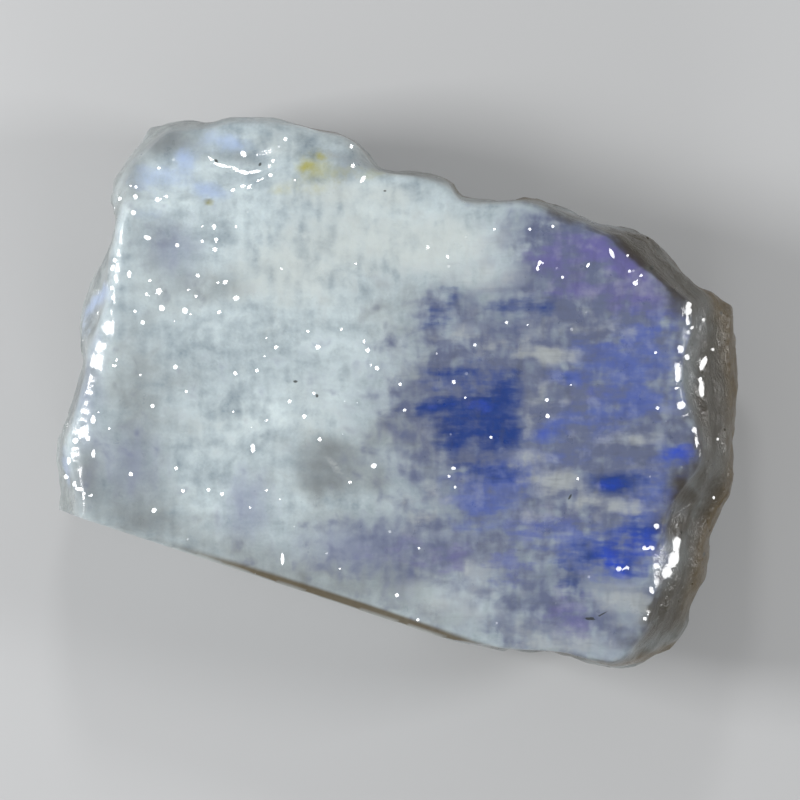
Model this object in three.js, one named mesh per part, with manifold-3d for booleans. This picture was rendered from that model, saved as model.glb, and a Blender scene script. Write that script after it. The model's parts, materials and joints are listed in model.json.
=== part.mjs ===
// A rough rainbow moonstone: one broken slab of feldspar, lying on its back face.
// Millimetres, +Z up, origin under the middle of the slab. +X runs along the sawn edge, the longest way.
//
// The slab is read like a map. Three contours give its form seen from above: the edge of the resting face,
// the widest outline and the edge of the large cleavage face. The wall between two contours has its own
// section on each side of the stone: rolled on the left, stepped on the right, chipped at the upper left.
// Then small breaks and flaked shells are split off, and last the one straight edge is sawn.

import * as THREE from "three";
import { mergeVertices } from "three/addons/utils/BufferGeometryUtils.js";
import Module from "manifold-3d";

const wasm = await Module();
wasm.setup();

// ---- Driving dimensions ----------------------------------------------------------------------------

const THICKNESS = 4.1; // from the resting face to the large cleavage face
const TOP_ALLOWANCE = 0.4; // how far the blank stands above the large face before that is split off
const SAWN_Y = -4.87; // the plane of the sawn edge
const ROUGH_Y = SAWN_Y - 0.6; // where the blank ends on that side before it is sawn
const STATIONS = 132; // facets round the slab
const FACET = 0.5; // length of a facet on the large face and the breaks

// The widest outline, anticlockwise from the right-hand end of the sawn edge. It is broken all the way
// round but for that edge, so each point is a corner or a swelling of the real outline.
const WIDEST = [
  // lower right corner
  [2.61, SAWN_Y], [3.85, -4.77], [4.9, -4.5], [5.6, -4.5], [6.3, -4.44], [6.72, -4.2], [6.92, -3.93],
  [7.3, -3.68],
  // right side, bottom to top
  [7.42, -3.04], [7.34, -2.66], [7.49, -1.77], [7.33, -1.07], [7.44, 0.1], [7.12, 1.18], [6.86, 2.35],
  [6.43, 3.56], [6.13, 3.98],
  // upper edge, right to left
  [5.18, 4.17], [4.23, 4.72], [3.53, 4.88], [2.96, 4.76], [2.04, 4.86], [1.46, 4.81], [1.03, 4.73],
  [0.52, 4.5], [-0.2, 4.39], [-0.39, 4.61], [-0.71, 4.67], [-1.42, 4.55], [-1.68, 4.43], [-2.05, 4.38],
  [-2.38, 4.56], [-2.74, 4.81], [-3.21, 4.79], [-3.97, 4.68], [-4.23, 4.77], [-4.82, 4.62], [-5.57, 4.42],
  [-6.03, 4.09], [-6.18, 4.12], [-6.82, 3.87], [-7.17, 3.66],
  // left side, top to bottom
  [-7.19, 3.45], [-7.34, 2.74], [-7.51, 2.34], [-7.49, 1.96], [-7.24, 1.41], [-7.14, 1.03], [-7.27, 0.19],
  [-7.31, -0.39], [-7.26, -0.95], [-7.04, -1.33], [-6.85, -1.84], [-6.84, -2.57], [-6.85, -3.35],
  [-6.86, -3.8], [-6.65, -4.1], [-6.42, -4.66],
  // the sawn side, still rough
  [-6.2, ROUGH_Y], [2.2, ROUGH_Y],
];

// The edge of the large cleavage face, from the same end.
const LARGE_FACE_EDGE = [
  [2.3, SAWN_Y], [3.9, -4.66], [4.95, -4.36], [5.7, -4.34], [6.25, -4.15], [6.45, -3.6], [6.4, -3.1],
  [6.38, -2.5], [6.5, -1.95], [6.24, -1.5], [6.1, -1.0], [6.15, -0.6], [6.4, 0.2], [6.5, 0.6], [6.2, 1.1],
  [5.8, 1.5], [5.58, 1.75], [5.42, 2.3], [5.42, 2.8], [5.38, 3.2], [5.15, 3.68],
  [4.65, 3.76], [4.2, 3.9], [3.8, 3.9], [3.3, 4.1], [3.0, 4.38], [2.1, 4.4], [1.4, 4.52], [0.95, 4.42],
  [0.45, 4.22], [-0.15, 4.12], [-0.5, 4.32], [-1.3, 4.32], [-1.9, 4.15], [-2.3, 4.08],
  // the foot of the upper left chip
  [-2.75, 4.3], [-3.7, 3.92], [-4.3, 3.55], [-4.6, 3.12], [-4.9, 2.9], [-5.5, 2.52], [-6.4, 2.2],
  [-6.9, 2.06],
  // left shoulder
  [-7.0, 1.55], [-6.85, 1.15], [-6.82, 0.6], [-6.75, 0.1], [-6.9, -0.3], [-6.76, -0.9], [-6.6, -1.5],
  [-6.48, -2.1], [-6.42, -2.7], [-6.42, -3.4], [-6.35, -3.9], [-6.15, -4.35], [-6.1, SAWN_Y],
  [-5.9, ROUGH_Y], [2.0, ROUGH_Y],
];

// The edge of the resting face. The wall runs in under the widest outline all round.
const RESTING_FACE_EDGE = [
  [1.7, SAWN_Y], [3.3, -4.35], [5.2, -4.05], [6.2, -3.55], [6.75, -2.7], [6.6, -1.3], [7.0, 0.2],
  [6.5, 1.5], [6.1, 2.9], [5.3, 3.5], [3.7, 3.95], [2.2, 4.35], [0.8, 3.9], [-0.6, 4.0], [-1.9, 3.6],
  [-3.3, 4.2], [-4.9, 4.0], [-6.0, 3.45], [-6.7, 2.9], [-6.85, 1.7], [-6.6, 0.6], [-6.8, -0.5],
  [-6.3, -1.7], [-6.45, -3.1], [-6.15, -4.1], [-6.2, SAWN_Y], [-6.1, ROUGH_Y], [1.5, ROUGH_Y],
];

// The upper wall's section on each side, at its azimuth in degrees from +X. `widest` is the height of the
// widest outline. Each step of `section` is a share of the way out from the large face's edge and a share
// of the way down to the widest outline.
const SIDES = [
  { azimuth: -30, widest: 2.3, section: [[0.22, 0.14], [0.5, 0.24], [0.64, 0.44], [0.86, 0.66]] },
  { azimuth: -14, widest: 2.1, section: [[0.1, 0.17], [0.42, 0.26], [0.52, 0.48], [0.86, 0.6]] },
  { azimuth: 10, widest: 1.9, section: [[0.08, 0.15], [0.44, 0.22], [0.53, 0.42], [0.88, 0.56]] },
  { azimuth: 30, widest: 2.0, section: [[0.09, 0.18], [0.36, 0.25], [0.58, 0.48], [0.9, 0.62]] },
  { azimuth: 38, widest: 2.3, section: [[0.18, 0.12], [0.5, 0.32], [0.88, 0.52], [0.97, 0.78]] },
  { azimuth: 56, widest: 2.4, section: [[0.4, 0.13], [0.7, 0.3], [0.9, 0.48], [0.97, 0.72]] },
  { azimuth: 80, widest: 2.5, section: [[0.3, 0.07], [0.62, 0.2], [0.86, 0.4], [0.97, 0.7]] },
  { azimuth: 112, widest: 2.4, section: [[0.3, 0.1], [0.6, 0.24], [0.84, 0.45], [0.96, 0.72]] },
  { azimuth: 126, widest: 2.2, section: [[0.12, 0.1], [0.5, 0.18], [0.86, 0.3], [0.97, 0.58]] },
  { azimuth: 158, widest: 2.0, section: [[0.06, 0.1], [0.44, 0.17], [0.84, 0.26], [0.96, 0.52]] },
  { azimuth: 168, widest: 2.1, section: [[0.28, 0.07], [0.6, 0.18], [0.84, 0.36], [0.96, 0.62]] },
  { azimuth: 205, widest: 1.9, section: [[0.3, 0.06], [0.6, 0.17], [0.84, 0.35], [0.96, 0.6]] },
  { azimuth: 240, widest: 2.2, section: [[0.25, 0.25], [0.5, 0.5], [0.75, 0.7], [0.9, 0.85]] },
  { azimuth: 290, widest: 2.2, section: [[0.25, 0.25], [0.5, 0.5], [0.75, 0.7], [0.9, 0.85]] },
  { azimuth: 312, widest: 2.4, section: [[0.3, 0.12], [0.6, 0.3], [0.85, 0.5], [0.96, 0.75]] },
];

// The lower wall's section: shares of the way in and of the way down, from the widest outline to the edge
// of the resting face. Feldspar splits into plates, so it goes down in risers and treads. `stray` is how far
// a step moves in along the wall, in mm.
const UNDER_SECTION = [
  { inward: 0.05, down: 0.17, stray: 0.05 },
  { inward: 0.3, down: 0.25, stray: 0.12 },
  { inward: 0.36, down: 0.5, stray: 0.09 },
  { inward: 0.7, down: 0.58, stray: 0.15 },
  { inward: 0.78, down: 0.84, stray: 0.1 },
];
const WIDEST_STRAY = 0.3; // how far the widest outline rises and falls along the wall

// Breaks, each a face that a splinter left. `at` is a point on it, `azimuth` the way it looks, in degrees
// from +X, and `dip` its slope: 0 is level and looks up, 90 is upright, and more than 90 hangs over.
const BREAKS = {
  leftShoulder: { at: [-7.04, 0.2, 3.62], azimuth: 184, dip: 63 },
  leftFoot: { at: [-6.98, -1.0, 1.0], azimuth: 190, dip: 112 },
  lowerLeftCorner: { at: [-6.5, -4.2, 3.4], azimuth: 206, dip: 66 },
  upperLeftCorner: { at: [-7.05, 3.5, 2.7], azimuth: 150, dip: 74 },
  upperLeftFoot: { at: [-6.35, 3.65, 1.0], azimuth: 137, dip: 118 },
  upperFoot: { at: [0.5, 4.32, 1.0], azimuth: 91, dip: 110 },
  amberCorner: { at: [5.3, 4.02, 3.3], azimuth: 57, dip: 66 },
  upperRightFoot: { at: [5.6, 3.75, 1.1], azimuth: 52, dip: 116 },
  rightShelf: { at: [6.9, 1.5, 2.9], azimuth: 16, dip: 62 },
  rightFoot: { at: [7.1, 0.4, 0.9], azimuth: 3, dip: 118 },
  lowerRightCorner: { at: [6.98, -3.3, 3.1], azimuth: 344, dip: 61 },
  lowerRightFoot: { at: [6.4, -3.75, 1.1], azimuth: 315, dip: 114 },
};

// Shells that flaked away, each an ellipsoid: its centre, its three radii and its turn about +Z in degrees.
const SHELLS = {
  lensScar: { at: [-5.0, 3.62, 3.98], radii: [0.8, 0.36, 0.34], turn: 19 },
  notchScar: { at: [-1.95, 4.95, 3.7], radii: [0.5, 0.62, 1.3], turn: 10 },
  upperStepScar: { at: [0.05, 5.0, 3.9], radii: [0.5, 0.66, 1.2], turn: -12 },
  amberScar: { at: [4.55, 4.85, 3.5], radii: [0.7, 0.5, 0.9], turn: -20 },
  rightBite: { at: [7.9, 1.9, 2.8], radii: [0.9, 1.3, 0.7], turn: 10 },
  lowerRightBite: { at: [7.9, -2.3, 3.2], radii: [0.85, 1.0, 0.62], turn: 0 },
  leftBite: { at: [-7.6, -2.4, 3.0], radii: [0.82, 1.2, 1.1], turn: 4 },
  upperLeftBite: { at: [-7.72, 1.15, 2.9], radii: [0.62, 0.7, 1.4], turn: 0 },
  backScar: { at: [-3.4, 5.15, 1.1], radii: [1.9, 0.85, 0.8], turn: 4 },
  underScar: { at: [6.9, -1.7, -0.25], radii: [1.1, 1.9, 0.8], turn: 8 },
};

// ---- Relief ----------------------------------------------------------------------------------------

// Slow waves that run through the whole stone, so that no broken face is a true plane: the wave's length,
// its height, the way it runs and its phase.
const SWELLS = [
  { length: 5.3, height: 0.05, way: [0.83, 0.42, 0.36], phase: 0.4 },
  { length: 3.7, height: 0.04, way: [-0.35, 0.86, 0.37], phase: 2.1 },
  { length: 2.6, height: 0.034, way: [0.56, -0.63, 0.54], phase: 4.4 },
  { length: 1.9, height: 0.026, way: [0.71, 0.69, -0.16], phase: 1.3 },
  { length: 1.35, height: 0.018, way: [-0.88, 0.21, 0.43], phase: 5.2 },
];
const LARGE_FACE_CALM = 0.6; // share of the waves that is left on the large face
const OUTLINE_CALM = 0.25; // share of the sideways waves in the blank, whose contours are already uneven
const CALM_DEPTH = 0.6; // depth over which the waves die out towards a flat face

/** A smooth step from 0 to 1. */
function smoothstep(t) {
  const s = Math.min(1, Math.max(0, t));
  return s * s * (3 - 2 * s);
}

/** How far the waves move a point: each axis takes every wave at another phase. */
function swell(point) {
  const moved = new THREE.Vector3();
  for (const { length, height, way, phase } of SWELLS) {
    const turns = (point.x * way[0] + point.y * way[1] + point.z * way[2]) / length;
    moved.x += height * Math.sin(2 * Math.PI * turns + phase);
    moved.y += height * Math.sin(2 * Math.PI * turns + 2.1 * phase);
    moved.z += height * Math.sin(2 * Math.PI * turns + 3.7 * phase);
  }
  const nearTop = smoothstep((point.z - THICKNESS + CALM_DEPTH) / CALM_DEPTH);
  moved.multiplyScalar(smoothstep(point.z / CALM_DEPTH));
  moved.y *= smoothstep((point.y - SAWN_Y) / CALM_DEPTH);
  moved.z *= 1 - (1 - LARGE_FACE_CALM) * nearTop;
  return moved;
}

// ---- Solids ----------------------------------------------------------------------------------------

/**
 * A three.js geometry, placed by a matrix and moved by the waves, as a manifold-3d solid. `sideways` is the
 * share of the waves that is let through along X and Y.
 */
function solid(geometry, place = new THREE.Matrix4(), sideways = 1) {
  const bare = new THREE.BufferGeometry();
  bare.setAttribute("position", geometry.getAttribute("position").clone());
  if (geometry.index) bare.setIndex(geometry.index);
  bare.applyMatrix4(place);
  const position = bare.getAttribute("position");
  const point = new THREE.Vector3();
  for (let i = 0; i < position.count; i += 1) {
    point.fromBufferAttribute(position, i);
    point.add(swell(point).multiply(new THREE.Vector3(sideways, sideways, 1)));
    position.setXYZ(i, point.x, point.y, point.z);
  }
  const merged = mergeVertices(bare, 1e-4);
  return new wasm.Manifold(
    new wasm.Mesh({
      numProp: 3,
      vertProperties: merged.getAttribute("position").array,
      triVerts: new Uint32Array(merged.index.array),
    }),
  );
}

/** A manifold-3d solid as a flat-shaded three.js geometry. */
function geometryOf(body) {
  const mesh = body.getMesh();
  const geometry = new THREE.BufferGeometry();
  geometry.setAttribute("position", new THREE.BufferAttribute(mesh.vertProperties, mesh.numProp));
  geometry.setIndex(new THREE.BufferAttribute(mesh.triVerts, 1));
  const faceted = geometry.toNonIndexed();
  faceted.computeVertexNormals();
  return faceted;
}

/** How far a contour reaches from the origin along a bearing, in radians. */
function reach(contour, bearing) {
  const [bx, by] = [Math.cos(bearing), Math.sin(bearing)];
  let farthest = 0;
  contour.forEach(([ax, ay], i) => {
    const [cx, cy] = contour[(i + 1) % contour.length];
    const [ex, ey] = [cx - ax, cy - ay];
    const across = bx * ey - by * ex;
    if (Math.abs(across) < 1e-9) return;
    const along = (ax * ey - ay * ex) / across;
    const share = (ax * by - ay * bx) / across;
    if (along > 0 && share >= 0 && share <= 1) farthest = Math.max(farthest, along);
  });
  return farthest;
}

/** The side of the stone at a bearing, blended from the two nearest rows of SIDES. */
function sideAt(bearing) {
  const first = SIDES[0];
  const rows = [...SIDES, { ...first, azimuth: first.azimuth + 360 }];
  const span = THREE.MathUtils.radToDeg(bearing) - first.azimuth;
  const azimuth = first.azimuth + THREE.MathUtils.euclideanModulo(span, 360);
  const next = rows.findIndex((row, i) => i > 0 && row.azimuth >= azimuth);
  const [a, b] = [rows[next - 1], rows[next]];
  const share = smoothstep((azimuth - a.azimuth) / (b.azimuth - a.azimuth));
  const mix = THREE.MathUtils.lerp;
  return {
    widest: mix(a.widest, b.widest, share),
    section: a.section.map(([out, down], i) => [
      mix(out, b.section[i][0], share),
      mix(down, b.section[i][1], share),
    ]),
  };
}

/** An uneven line round the stone, between -1 and 1, another one for each key. */
function wander(bearing, key) {
  const slow = Math.sin(5 * bearing + 2.3 * key);
  const quick = Math.sin(11 * bearing + 4.1 * key + 1);
  return 0.5 * slow + 0.3 * quick + 0.2 * Math.sin(19 * bearing + 5.3 * key + 2);
}

/** The wall at a bearing, from the top down: its reach and its height at each ring. */
function wall(bearing) {
  const { widest: level, section } = sideAt(bearing);
  const widest = level + WIDEST_STRAY * wander(bearing, 9);
  const face = reach(LARGE_FACE_EDGE, bearing);
  const outline = reach(WIDEST, bearing);
  const foot = reach(RESTING_FACE_EDGE, bearing);
  const mix = THREE.MathUtils.lerp;
  const slope = (section[0][0] * (outline - face)) / (section[0][1] * (THICKNESS - widest));
  const rings = [[face - TOP_ALLOWANCE * slope, THICKNESS + TOP_ALLOWANCE], [face, THICKNESS]];
  for (const [out, down] of section) {
    rings.push([mix(face, outline, out), mix(THICKNESS, widest, down)]);
  }
  rings.push([outline, widest]);
  UNDER_SECTION.forEach(({ inward, down, stray }, i) => {
    rings.push([mix(outline, foot, inward) - stray * (1 + wander(bearing, i)), mix(widest, 0, down)]);
  });
  rings.push([foot, 0]);
  return rings;
}

/** The slab before anything is split or sawn off: a cylinder drawn out to the three contours. */
function blank() {
  const bearings = Array.from({ length: STATIONS }, (_, i) => (2 * Math.PI * i) / STATIONS);
  const walls = bearings.map(wall);
  const ringCount = walls[0].length;
  const cylinder = new THREE.CylinderGeometry(1, 1, ringCount - 1, STATIONS, ringCount - 1);
  cylinder.rotateX(Math.PI / 2);
  const position = cylinder.getAttribute("position");
  for (let i = 0; i < position.count; i += 1) {
    const [x, y] = [position.getX(i), position.getY(i)];
    const ring = Math.round((ringCount - 1) / 2 - position.getZ(i));
    const turn = THREE.MathUtils.euclideanModulo(Math.atan2(y, x) / (2 * Math.PI), 1);
    const [out, z] = walls[Math.round(turn * STATIONS) % STATIONS][ring];
    const onAxis = Math.hypot(x, y) < 0.5;
    position.setXYZ(i, onAxis ? 0 : x * out, onAxis ? 0 : y * out, z);
  }
  return solid(cylinder, new THREE.Matrix4(), OUTLINE_CALM);
}

/** A turn that brings +Z to a face's outward direction. */
function facing(azimuth, dip) {
  const aroundZ = new THREE.Matrix4().makeRotationZ(THREE.MathUtils.degToRad(azimuth));
  const downSlope = new THREE.Matrix4().makeRotationY(THREE.MathUtils.degToRad(dip));
  return aroundZ.multiply(downSlope);
}

/** What lies outside a break: a block whose lower side is the break, in even facets. */
function outside({ at, azimuth, dip }, size = 8) {
  const facets = Math.ceil(size / FACET);
  const block = new THREE.BoxGeometry(size, size, 5, facets, facets, 1).translate(0, 0, 2.5);
  return solid(block, facing(azimuth, dip).setPosition(...at));
}

/** The ellipsoid of a flaked shell. */
function shell({ at, radii, turn }) {
  const facets = Math.max(18, Math.ceil((2 * Math.PI * Math.max(...radii)) / (0.5 * FACET)));
  const place = facing(turn, 0).setPosition(...at).scale(new THREE.Vector3(...radii));
  return solid(new THREE.SphereGeometry(1, facets, Math.ceil(facets / 2)), place);
}

/** The saw cut, a true plane. */
function sawCut() {
  const waste = new THREE.BoxGeometry(20, 4, 12).translate(0, SAWN_Y - 2, 3);
  return solid(waste);
}

/** The whole stone as one solid. */
function stoneSolid() {
  const largeFace = { at: [0, 0, THICKNESS], azimuth: 0, dip: 0.5 };
  let stone = blank().subtract(outside(largeFace, 17));
  for (const face of Object.values(BREAKS)) stone = stone.subtract(outside(face));
  for (const flake of Object.values(SHELLS)) stone = stone.subtract(shell(flake));
  return stone.subtract(sawCut());
}

// ---- The part --------------------------------------------------------------------------------------

const milkyFeldspar = new THREE.MeshStandardMaterial({
  color: 0xc3c9cc,
  roughness: 0.28,
  metalness: 0,
  flatShading: true,
});

const moonstone = new THREE.Mesh(geometryOf(stoneSolid()), milkyFeldspar);
moonstone.name = "moonstone";

const part = new THREE.Group();
part.name = "rough_rainbow_moonstone";
part.add(moonstone);

export default part;
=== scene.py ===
"""A rough rainbow moonstone: one broken slab of milky feldspar with a blue sheen, lying on its back face.

The stone's solid comes from the frame. It is worked on a bench where one unit is one millimetre: its sharp
edges are flaked, its walls are split into fine ledges and its faces are softened and waved. Then it goes
back to its real size. What lies in the stone, such as clear zones, milky veils, sheen and stains, is dabbed
on as attributes, and the finish breaks the dabs up with streaks and grain. The blue sheen and the pale
gleams are painted reflections in the colour. The walls are painted darker than the large face as shade,
and their smoky browns and the thin edges' tint are partly painted shade.
"""

import json
import logging
import math
import random
from dataclasses import dataclass, field
from enum import Enum
from typing import TypeVar

import bmesh
import bpy
import numpy as np
from mathutils import Matrix, Vector
from mathutils.bvhtree import BVHTree

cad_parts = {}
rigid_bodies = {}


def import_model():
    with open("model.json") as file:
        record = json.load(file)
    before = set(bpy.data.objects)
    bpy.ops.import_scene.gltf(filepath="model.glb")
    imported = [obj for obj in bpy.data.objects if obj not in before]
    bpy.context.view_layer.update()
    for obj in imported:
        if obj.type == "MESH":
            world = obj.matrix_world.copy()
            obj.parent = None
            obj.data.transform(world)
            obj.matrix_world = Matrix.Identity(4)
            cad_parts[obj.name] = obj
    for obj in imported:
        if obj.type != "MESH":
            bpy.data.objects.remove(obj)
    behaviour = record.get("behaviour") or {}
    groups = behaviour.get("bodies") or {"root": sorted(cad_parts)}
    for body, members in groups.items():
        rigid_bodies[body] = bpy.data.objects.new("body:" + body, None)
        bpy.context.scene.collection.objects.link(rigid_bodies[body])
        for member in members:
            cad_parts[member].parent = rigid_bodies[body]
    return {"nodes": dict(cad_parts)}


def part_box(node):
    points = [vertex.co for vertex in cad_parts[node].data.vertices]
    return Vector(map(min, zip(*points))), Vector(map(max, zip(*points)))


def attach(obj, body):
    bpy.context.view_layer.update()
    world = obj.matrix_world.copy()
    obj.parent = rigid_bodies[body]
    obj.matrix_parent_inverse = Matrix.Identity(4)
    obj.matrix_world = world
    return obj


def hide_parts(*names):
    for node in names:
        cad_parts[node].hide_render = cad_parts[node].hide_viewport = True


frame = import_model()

log = logging.getLogger("moonstone")

Colour = tuple[float, float, float]
Point = tuple[float, float, float]
Range = tuple[float, float]
Piece = bpy.types.Object
Socket = bpy.types.NodeSocket
Item = TypeVar("Item")

BENCH = 1000.0  # bench units in a metre: the stone is worked in millimetres
STREAKS = math.radians(18.3)  # the way the streaks run through the stone, from +X
ORIGIN = (0.0, 0.0, 0.0)
UP = Vector((0, 0, 1))


# ---- Bench hands ------------------------------------------------------------------------------------


def each(kind: type[Item], *rows: tuple[float, ...]) -> tuple[Item, ...]:
    """Returns one item of a kind for each row of its fields' values."""
    return tuple(kind(*row) for row in rows)


def clear_selection() -> None:
    """Deselects every object."""
    bpy.ops.object.select_all(action="DESELECT")


def take(obj: Piece) -> None:
    """Makes an object the only selected and the active one.

    Args:
        obj: The object.
    """
    clear_selection()
    obj.select_set(True)
    bpy.context.view_layer.objects.active = obj


def add_modifier(obj: Piece, kind: str, **settings: object) -> None:
    """Adds a modifier and applies it.

    Args:
        obj: The object, which becomes the active one.
        kind: Blender's name for the modifier.
        settings: The modifier's properties.
    """
    take(obj)
    modifier = obj.modifiers.new(kind.title(), kind)
    for name, value in settings.items():
        setattr(modifier, name, value)
    bpy.ops.object.modifier_apply(modifier=modifier.name)


def scale_all(obj: Piece, factor: float) -> None:
    """Scales an object about the origin, and puts its place and size into its mesh.

    Args:
        obj: The object.
        factor: How many times larger it becomes.
    """
    take(obj)
    bpy.ops.transform.resize(value=(factor, factor, factor), center_override=ORIGIN)
    bpy.ops.object.transform_apply(location=True, rotation=True, scale=True)


def reshape(obj: Piece, chosen: np.ndarray, axis: int, factor: float, pivot: float, shift: float) -> None:
    """Stretches or squashes chosen vertices along one axis, then moves them along it.

    Args:
        obj: The object.
        chosen: Which of its vertices move.
        axis: The axis: 0, 1 or 2.
        factor: How far they are stretched.
        pivot: The place on the axis that stays.
        shift: How far they then move.
    """
    values = [[rest] * 3 for rest in (1.0, 0.0, 0.0)]
    for vector, value in zip(values, (factor, pivot, shift)):
        vector[axis] = value
    take(obj)
    bpy.ops.object.mode_set(mode="EDIT")
    bpy.ops.mesh.select_mode(type="VERT")
    bpy.ops.mesh.select_all(action="DESELECT")
    bpy.ops.object.mode_set(mode="OBJECT")
    obj.data.vertices.foreach_set("select", chosen)
    bpy.ops.object.mode_set(mode="EDIT")
    bpy.ops.transform.resize(value=values[0], center_override=values[1])
    bpy.ops.transform.translate(value=values[2])
    bpy.ops.object.mode_set(mode="OBJECT")


def read(
    items: bpy.types.bpy_prop_collection, name: str, width: int, kind: type = np.float32
) -> np.ndarray:
    """Reads one property of all items of a mesh.

    Args:
        items: The mesh's vertices, normals or edges.
        name: The property.
        width: How many numbers it has.
        kind: The kind of number that it holds.

    Returns:
        One row for each item.
    """
    found = np.zeros(width * len(items), kind)
    items.foreach_get(name, found)
    return found.reshape(-1, width)


def coordinates(mesh: bpy.types.Mesh) -> np.ndarray:
    """Returns a mesh's vertices as rows x, y, z."""
    return read(mesh.vertices, "co", 3).astype(float)


def normals(mesh: bpy.types.Mesh) -> np.ndarray:
    """Returns a mesh's vertex normals as rows x, y, z."""
    return read(mesh.vertex_normals, "vector", 3).astype(float)


def edge_ends(mesh: bpy.types.Mesh) -> np.ndarray:
    """Returns the numbers of each edge's two vertices, one row for each edge."""
    return read(mesh.edges, "vertices", 2, np.int32)


def soft_step(value: np.ndarray, low: float, high: float) -> np.ndarray:
    """Returns 0 at low, 1 at high and a smooth rise between them."""
    share = np.clip((value - low) / (high - low), 0.0, 1.0)
    return share * share * (3.0 - 2.0 * share)


def from_streaks(u: float, v: float) -> Vector:
    """Returns the stone's x and y of a place given along and across the streaks."""
    cos, sin = math.cos(STREAKS), math.sin(STREAKS)
    return Vector((u * cos - v * sin, u * sin + v * cos))


def along_streaks(where: np.ndarray) -> tuple[np.ndarray, np.ndarray]:
    """Returns points' places along and across the streaks, from rows x, y, z."""
    cos, sin = math.cos(STREAKS), math.sin(STREAKS)
    return where[:, 0] * cos + where[:, 1] * sin, where[:, 1] * cos - where[:, 0] * sin


def looking(bearing: float, slope: float) -> Matrix:
    """Returns the turn from +Z to a bearing from the streaks' way and a slope, in degrees."""
    return Matrix.Rotation(STREAKS + math.radians(bearing), 3, "Z") @ Matrix.Rotation(
        math.radians(slope), 3, "Y"
    )


def turned(u: np.ndarray, v: np.ndarray, turn: float) -> tuple[np.ndarray, np.ndarray]:
    """Returns places along and across a line turned from the streaks by some degrees."""
    cos, sin = math.cos(math.radians(turn)), math.sin(math.radians(turn))
    return u * cos + v * sin, v * cos - u * sin


# ---- What is where on the stone ---------------------------------------------------------------------


class Region(Enum):
    """The stone's surfaces, each a soft-edged vertex group on the bench."""

    LARGE_FACE = "large_face"
    WALLS = "walls"
    RIM = "rim"
    CHIP = "chip"


class Side(Enum):
    """The bearings that struck flats look to, in degrees from the streaks' way."""

    LEFT = 176
    RIGHT = 4


@dataclass(frozen=True)
class Flat:
    """A small flat struck off the large face's rim.

    Attributes:
        u: Its place along the streaks, in mm.
        v: Its place across the streaks.
        depth: How deep it is, in mm.
        length: Its length along the rim, in mm.
    """

    u: float
    v: float
    depth: float
    length: float


RIM_FLATS: dict[Side, tuple[Flat, ...]] = {
    Side.LEFT: each(
        Flat,
        (-6.1, 3.35, 0.03, 0.22), (-6.2, 3.05, 0.035, 0.2), (-6.35, 2.7, 0.035, 0.3),
        (-6.5, 2.35, 0.03, 0.18), (-6.62, 1.95, 0.05, 0.22), (-6.6, 1.5, 0.09, 0.5),
        (-6.65, 1.15, 0.085, 0.42), (-6.75, 0.75, 0.08, 0.5), (-6.8, 0.42, 0.045, 0.26),
        (-6.8, 0.1, 0.05, 0.28), (-6.9, -0.3, 0.045, 0.24), (-7.0, -0.75, 0.08, 0.44),
        (-7.1, -1.2, 0.05, 0.26), (-7.2, -1.6, 0.04, 0.2), (-7.3, -1.95, 0.05, 0.3),
        (-7.15, -2.45, 0.03, 0.2),
    ),
    Side.RIGHT: each(
        Flat,
        (6.1, 1.8, 0.075, 0.34), (6.1, 1.45, 0.05, 0.26), (6.0, 0.9, 0.075, 0.4), (5.95, 0.3, 0.08, 0.5),
        (5.95, -0.4, 0.085, 0.26), (6.25, -0.95, 0.06, 0.3), (6.55, 0.6, 0.07, 0.4),
        (6.5, 0.05, 0.06, 0.34), (5.75, -3.45, 0.07, 0.3), (5.75, -3.8, 0.13, 0.7),
        (5.35, -4.4, 0.06, 0.26), (5.2, -5.0, 0.05, 0.2),
    ),
}


class Cleavage(Enum):
    """The ways that cleavage flats look: the bearing from the streaks' way and the slope, in degrees."""

    LEFT = (176, 28)
    RIGHT = (4, 29)

    def way(self) -> Vector:
        """Returns the direction that the flats look to."""
        return looking(*self.value) @ UP


@dataclass(frozen=True)
class Spot:
    """A small crisp oval, seen from above.

    Attributes:
        u: Its middle along the streaks, in mm from the stone's middle.
        v: Its middle across the streaks.
        long: Its half-length, in mm.
        wide: Its half-width; 0 makes it round.
        turn: The turn of its length from the streaks, in degrees.
    """

    u: float
    v: float
    long: float
    wide: float = 0.0
    turn: float = 90.0

    def within(self, u: np.ndarray, v: np.ndarray) -> tuple[np.ndarray, np.ndarray, np.ndarray]:
        """Places points in the spot, where its edge is a circle of 1.

        Args:
            u: The points' places along the streaks, in mm.
            v: Their places across the streaks.

        Returns:
            Their places along and across the spot, and their gaps to its edge, in mm.
        """
        wide = self.wide or self.long
        along, across = turned(u - self.u, v - self.v, self.turn)
        along, across = along / self.long, across / wide
        return along, across, (np.hypot(along, across) - 1.0) * wide


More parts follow.
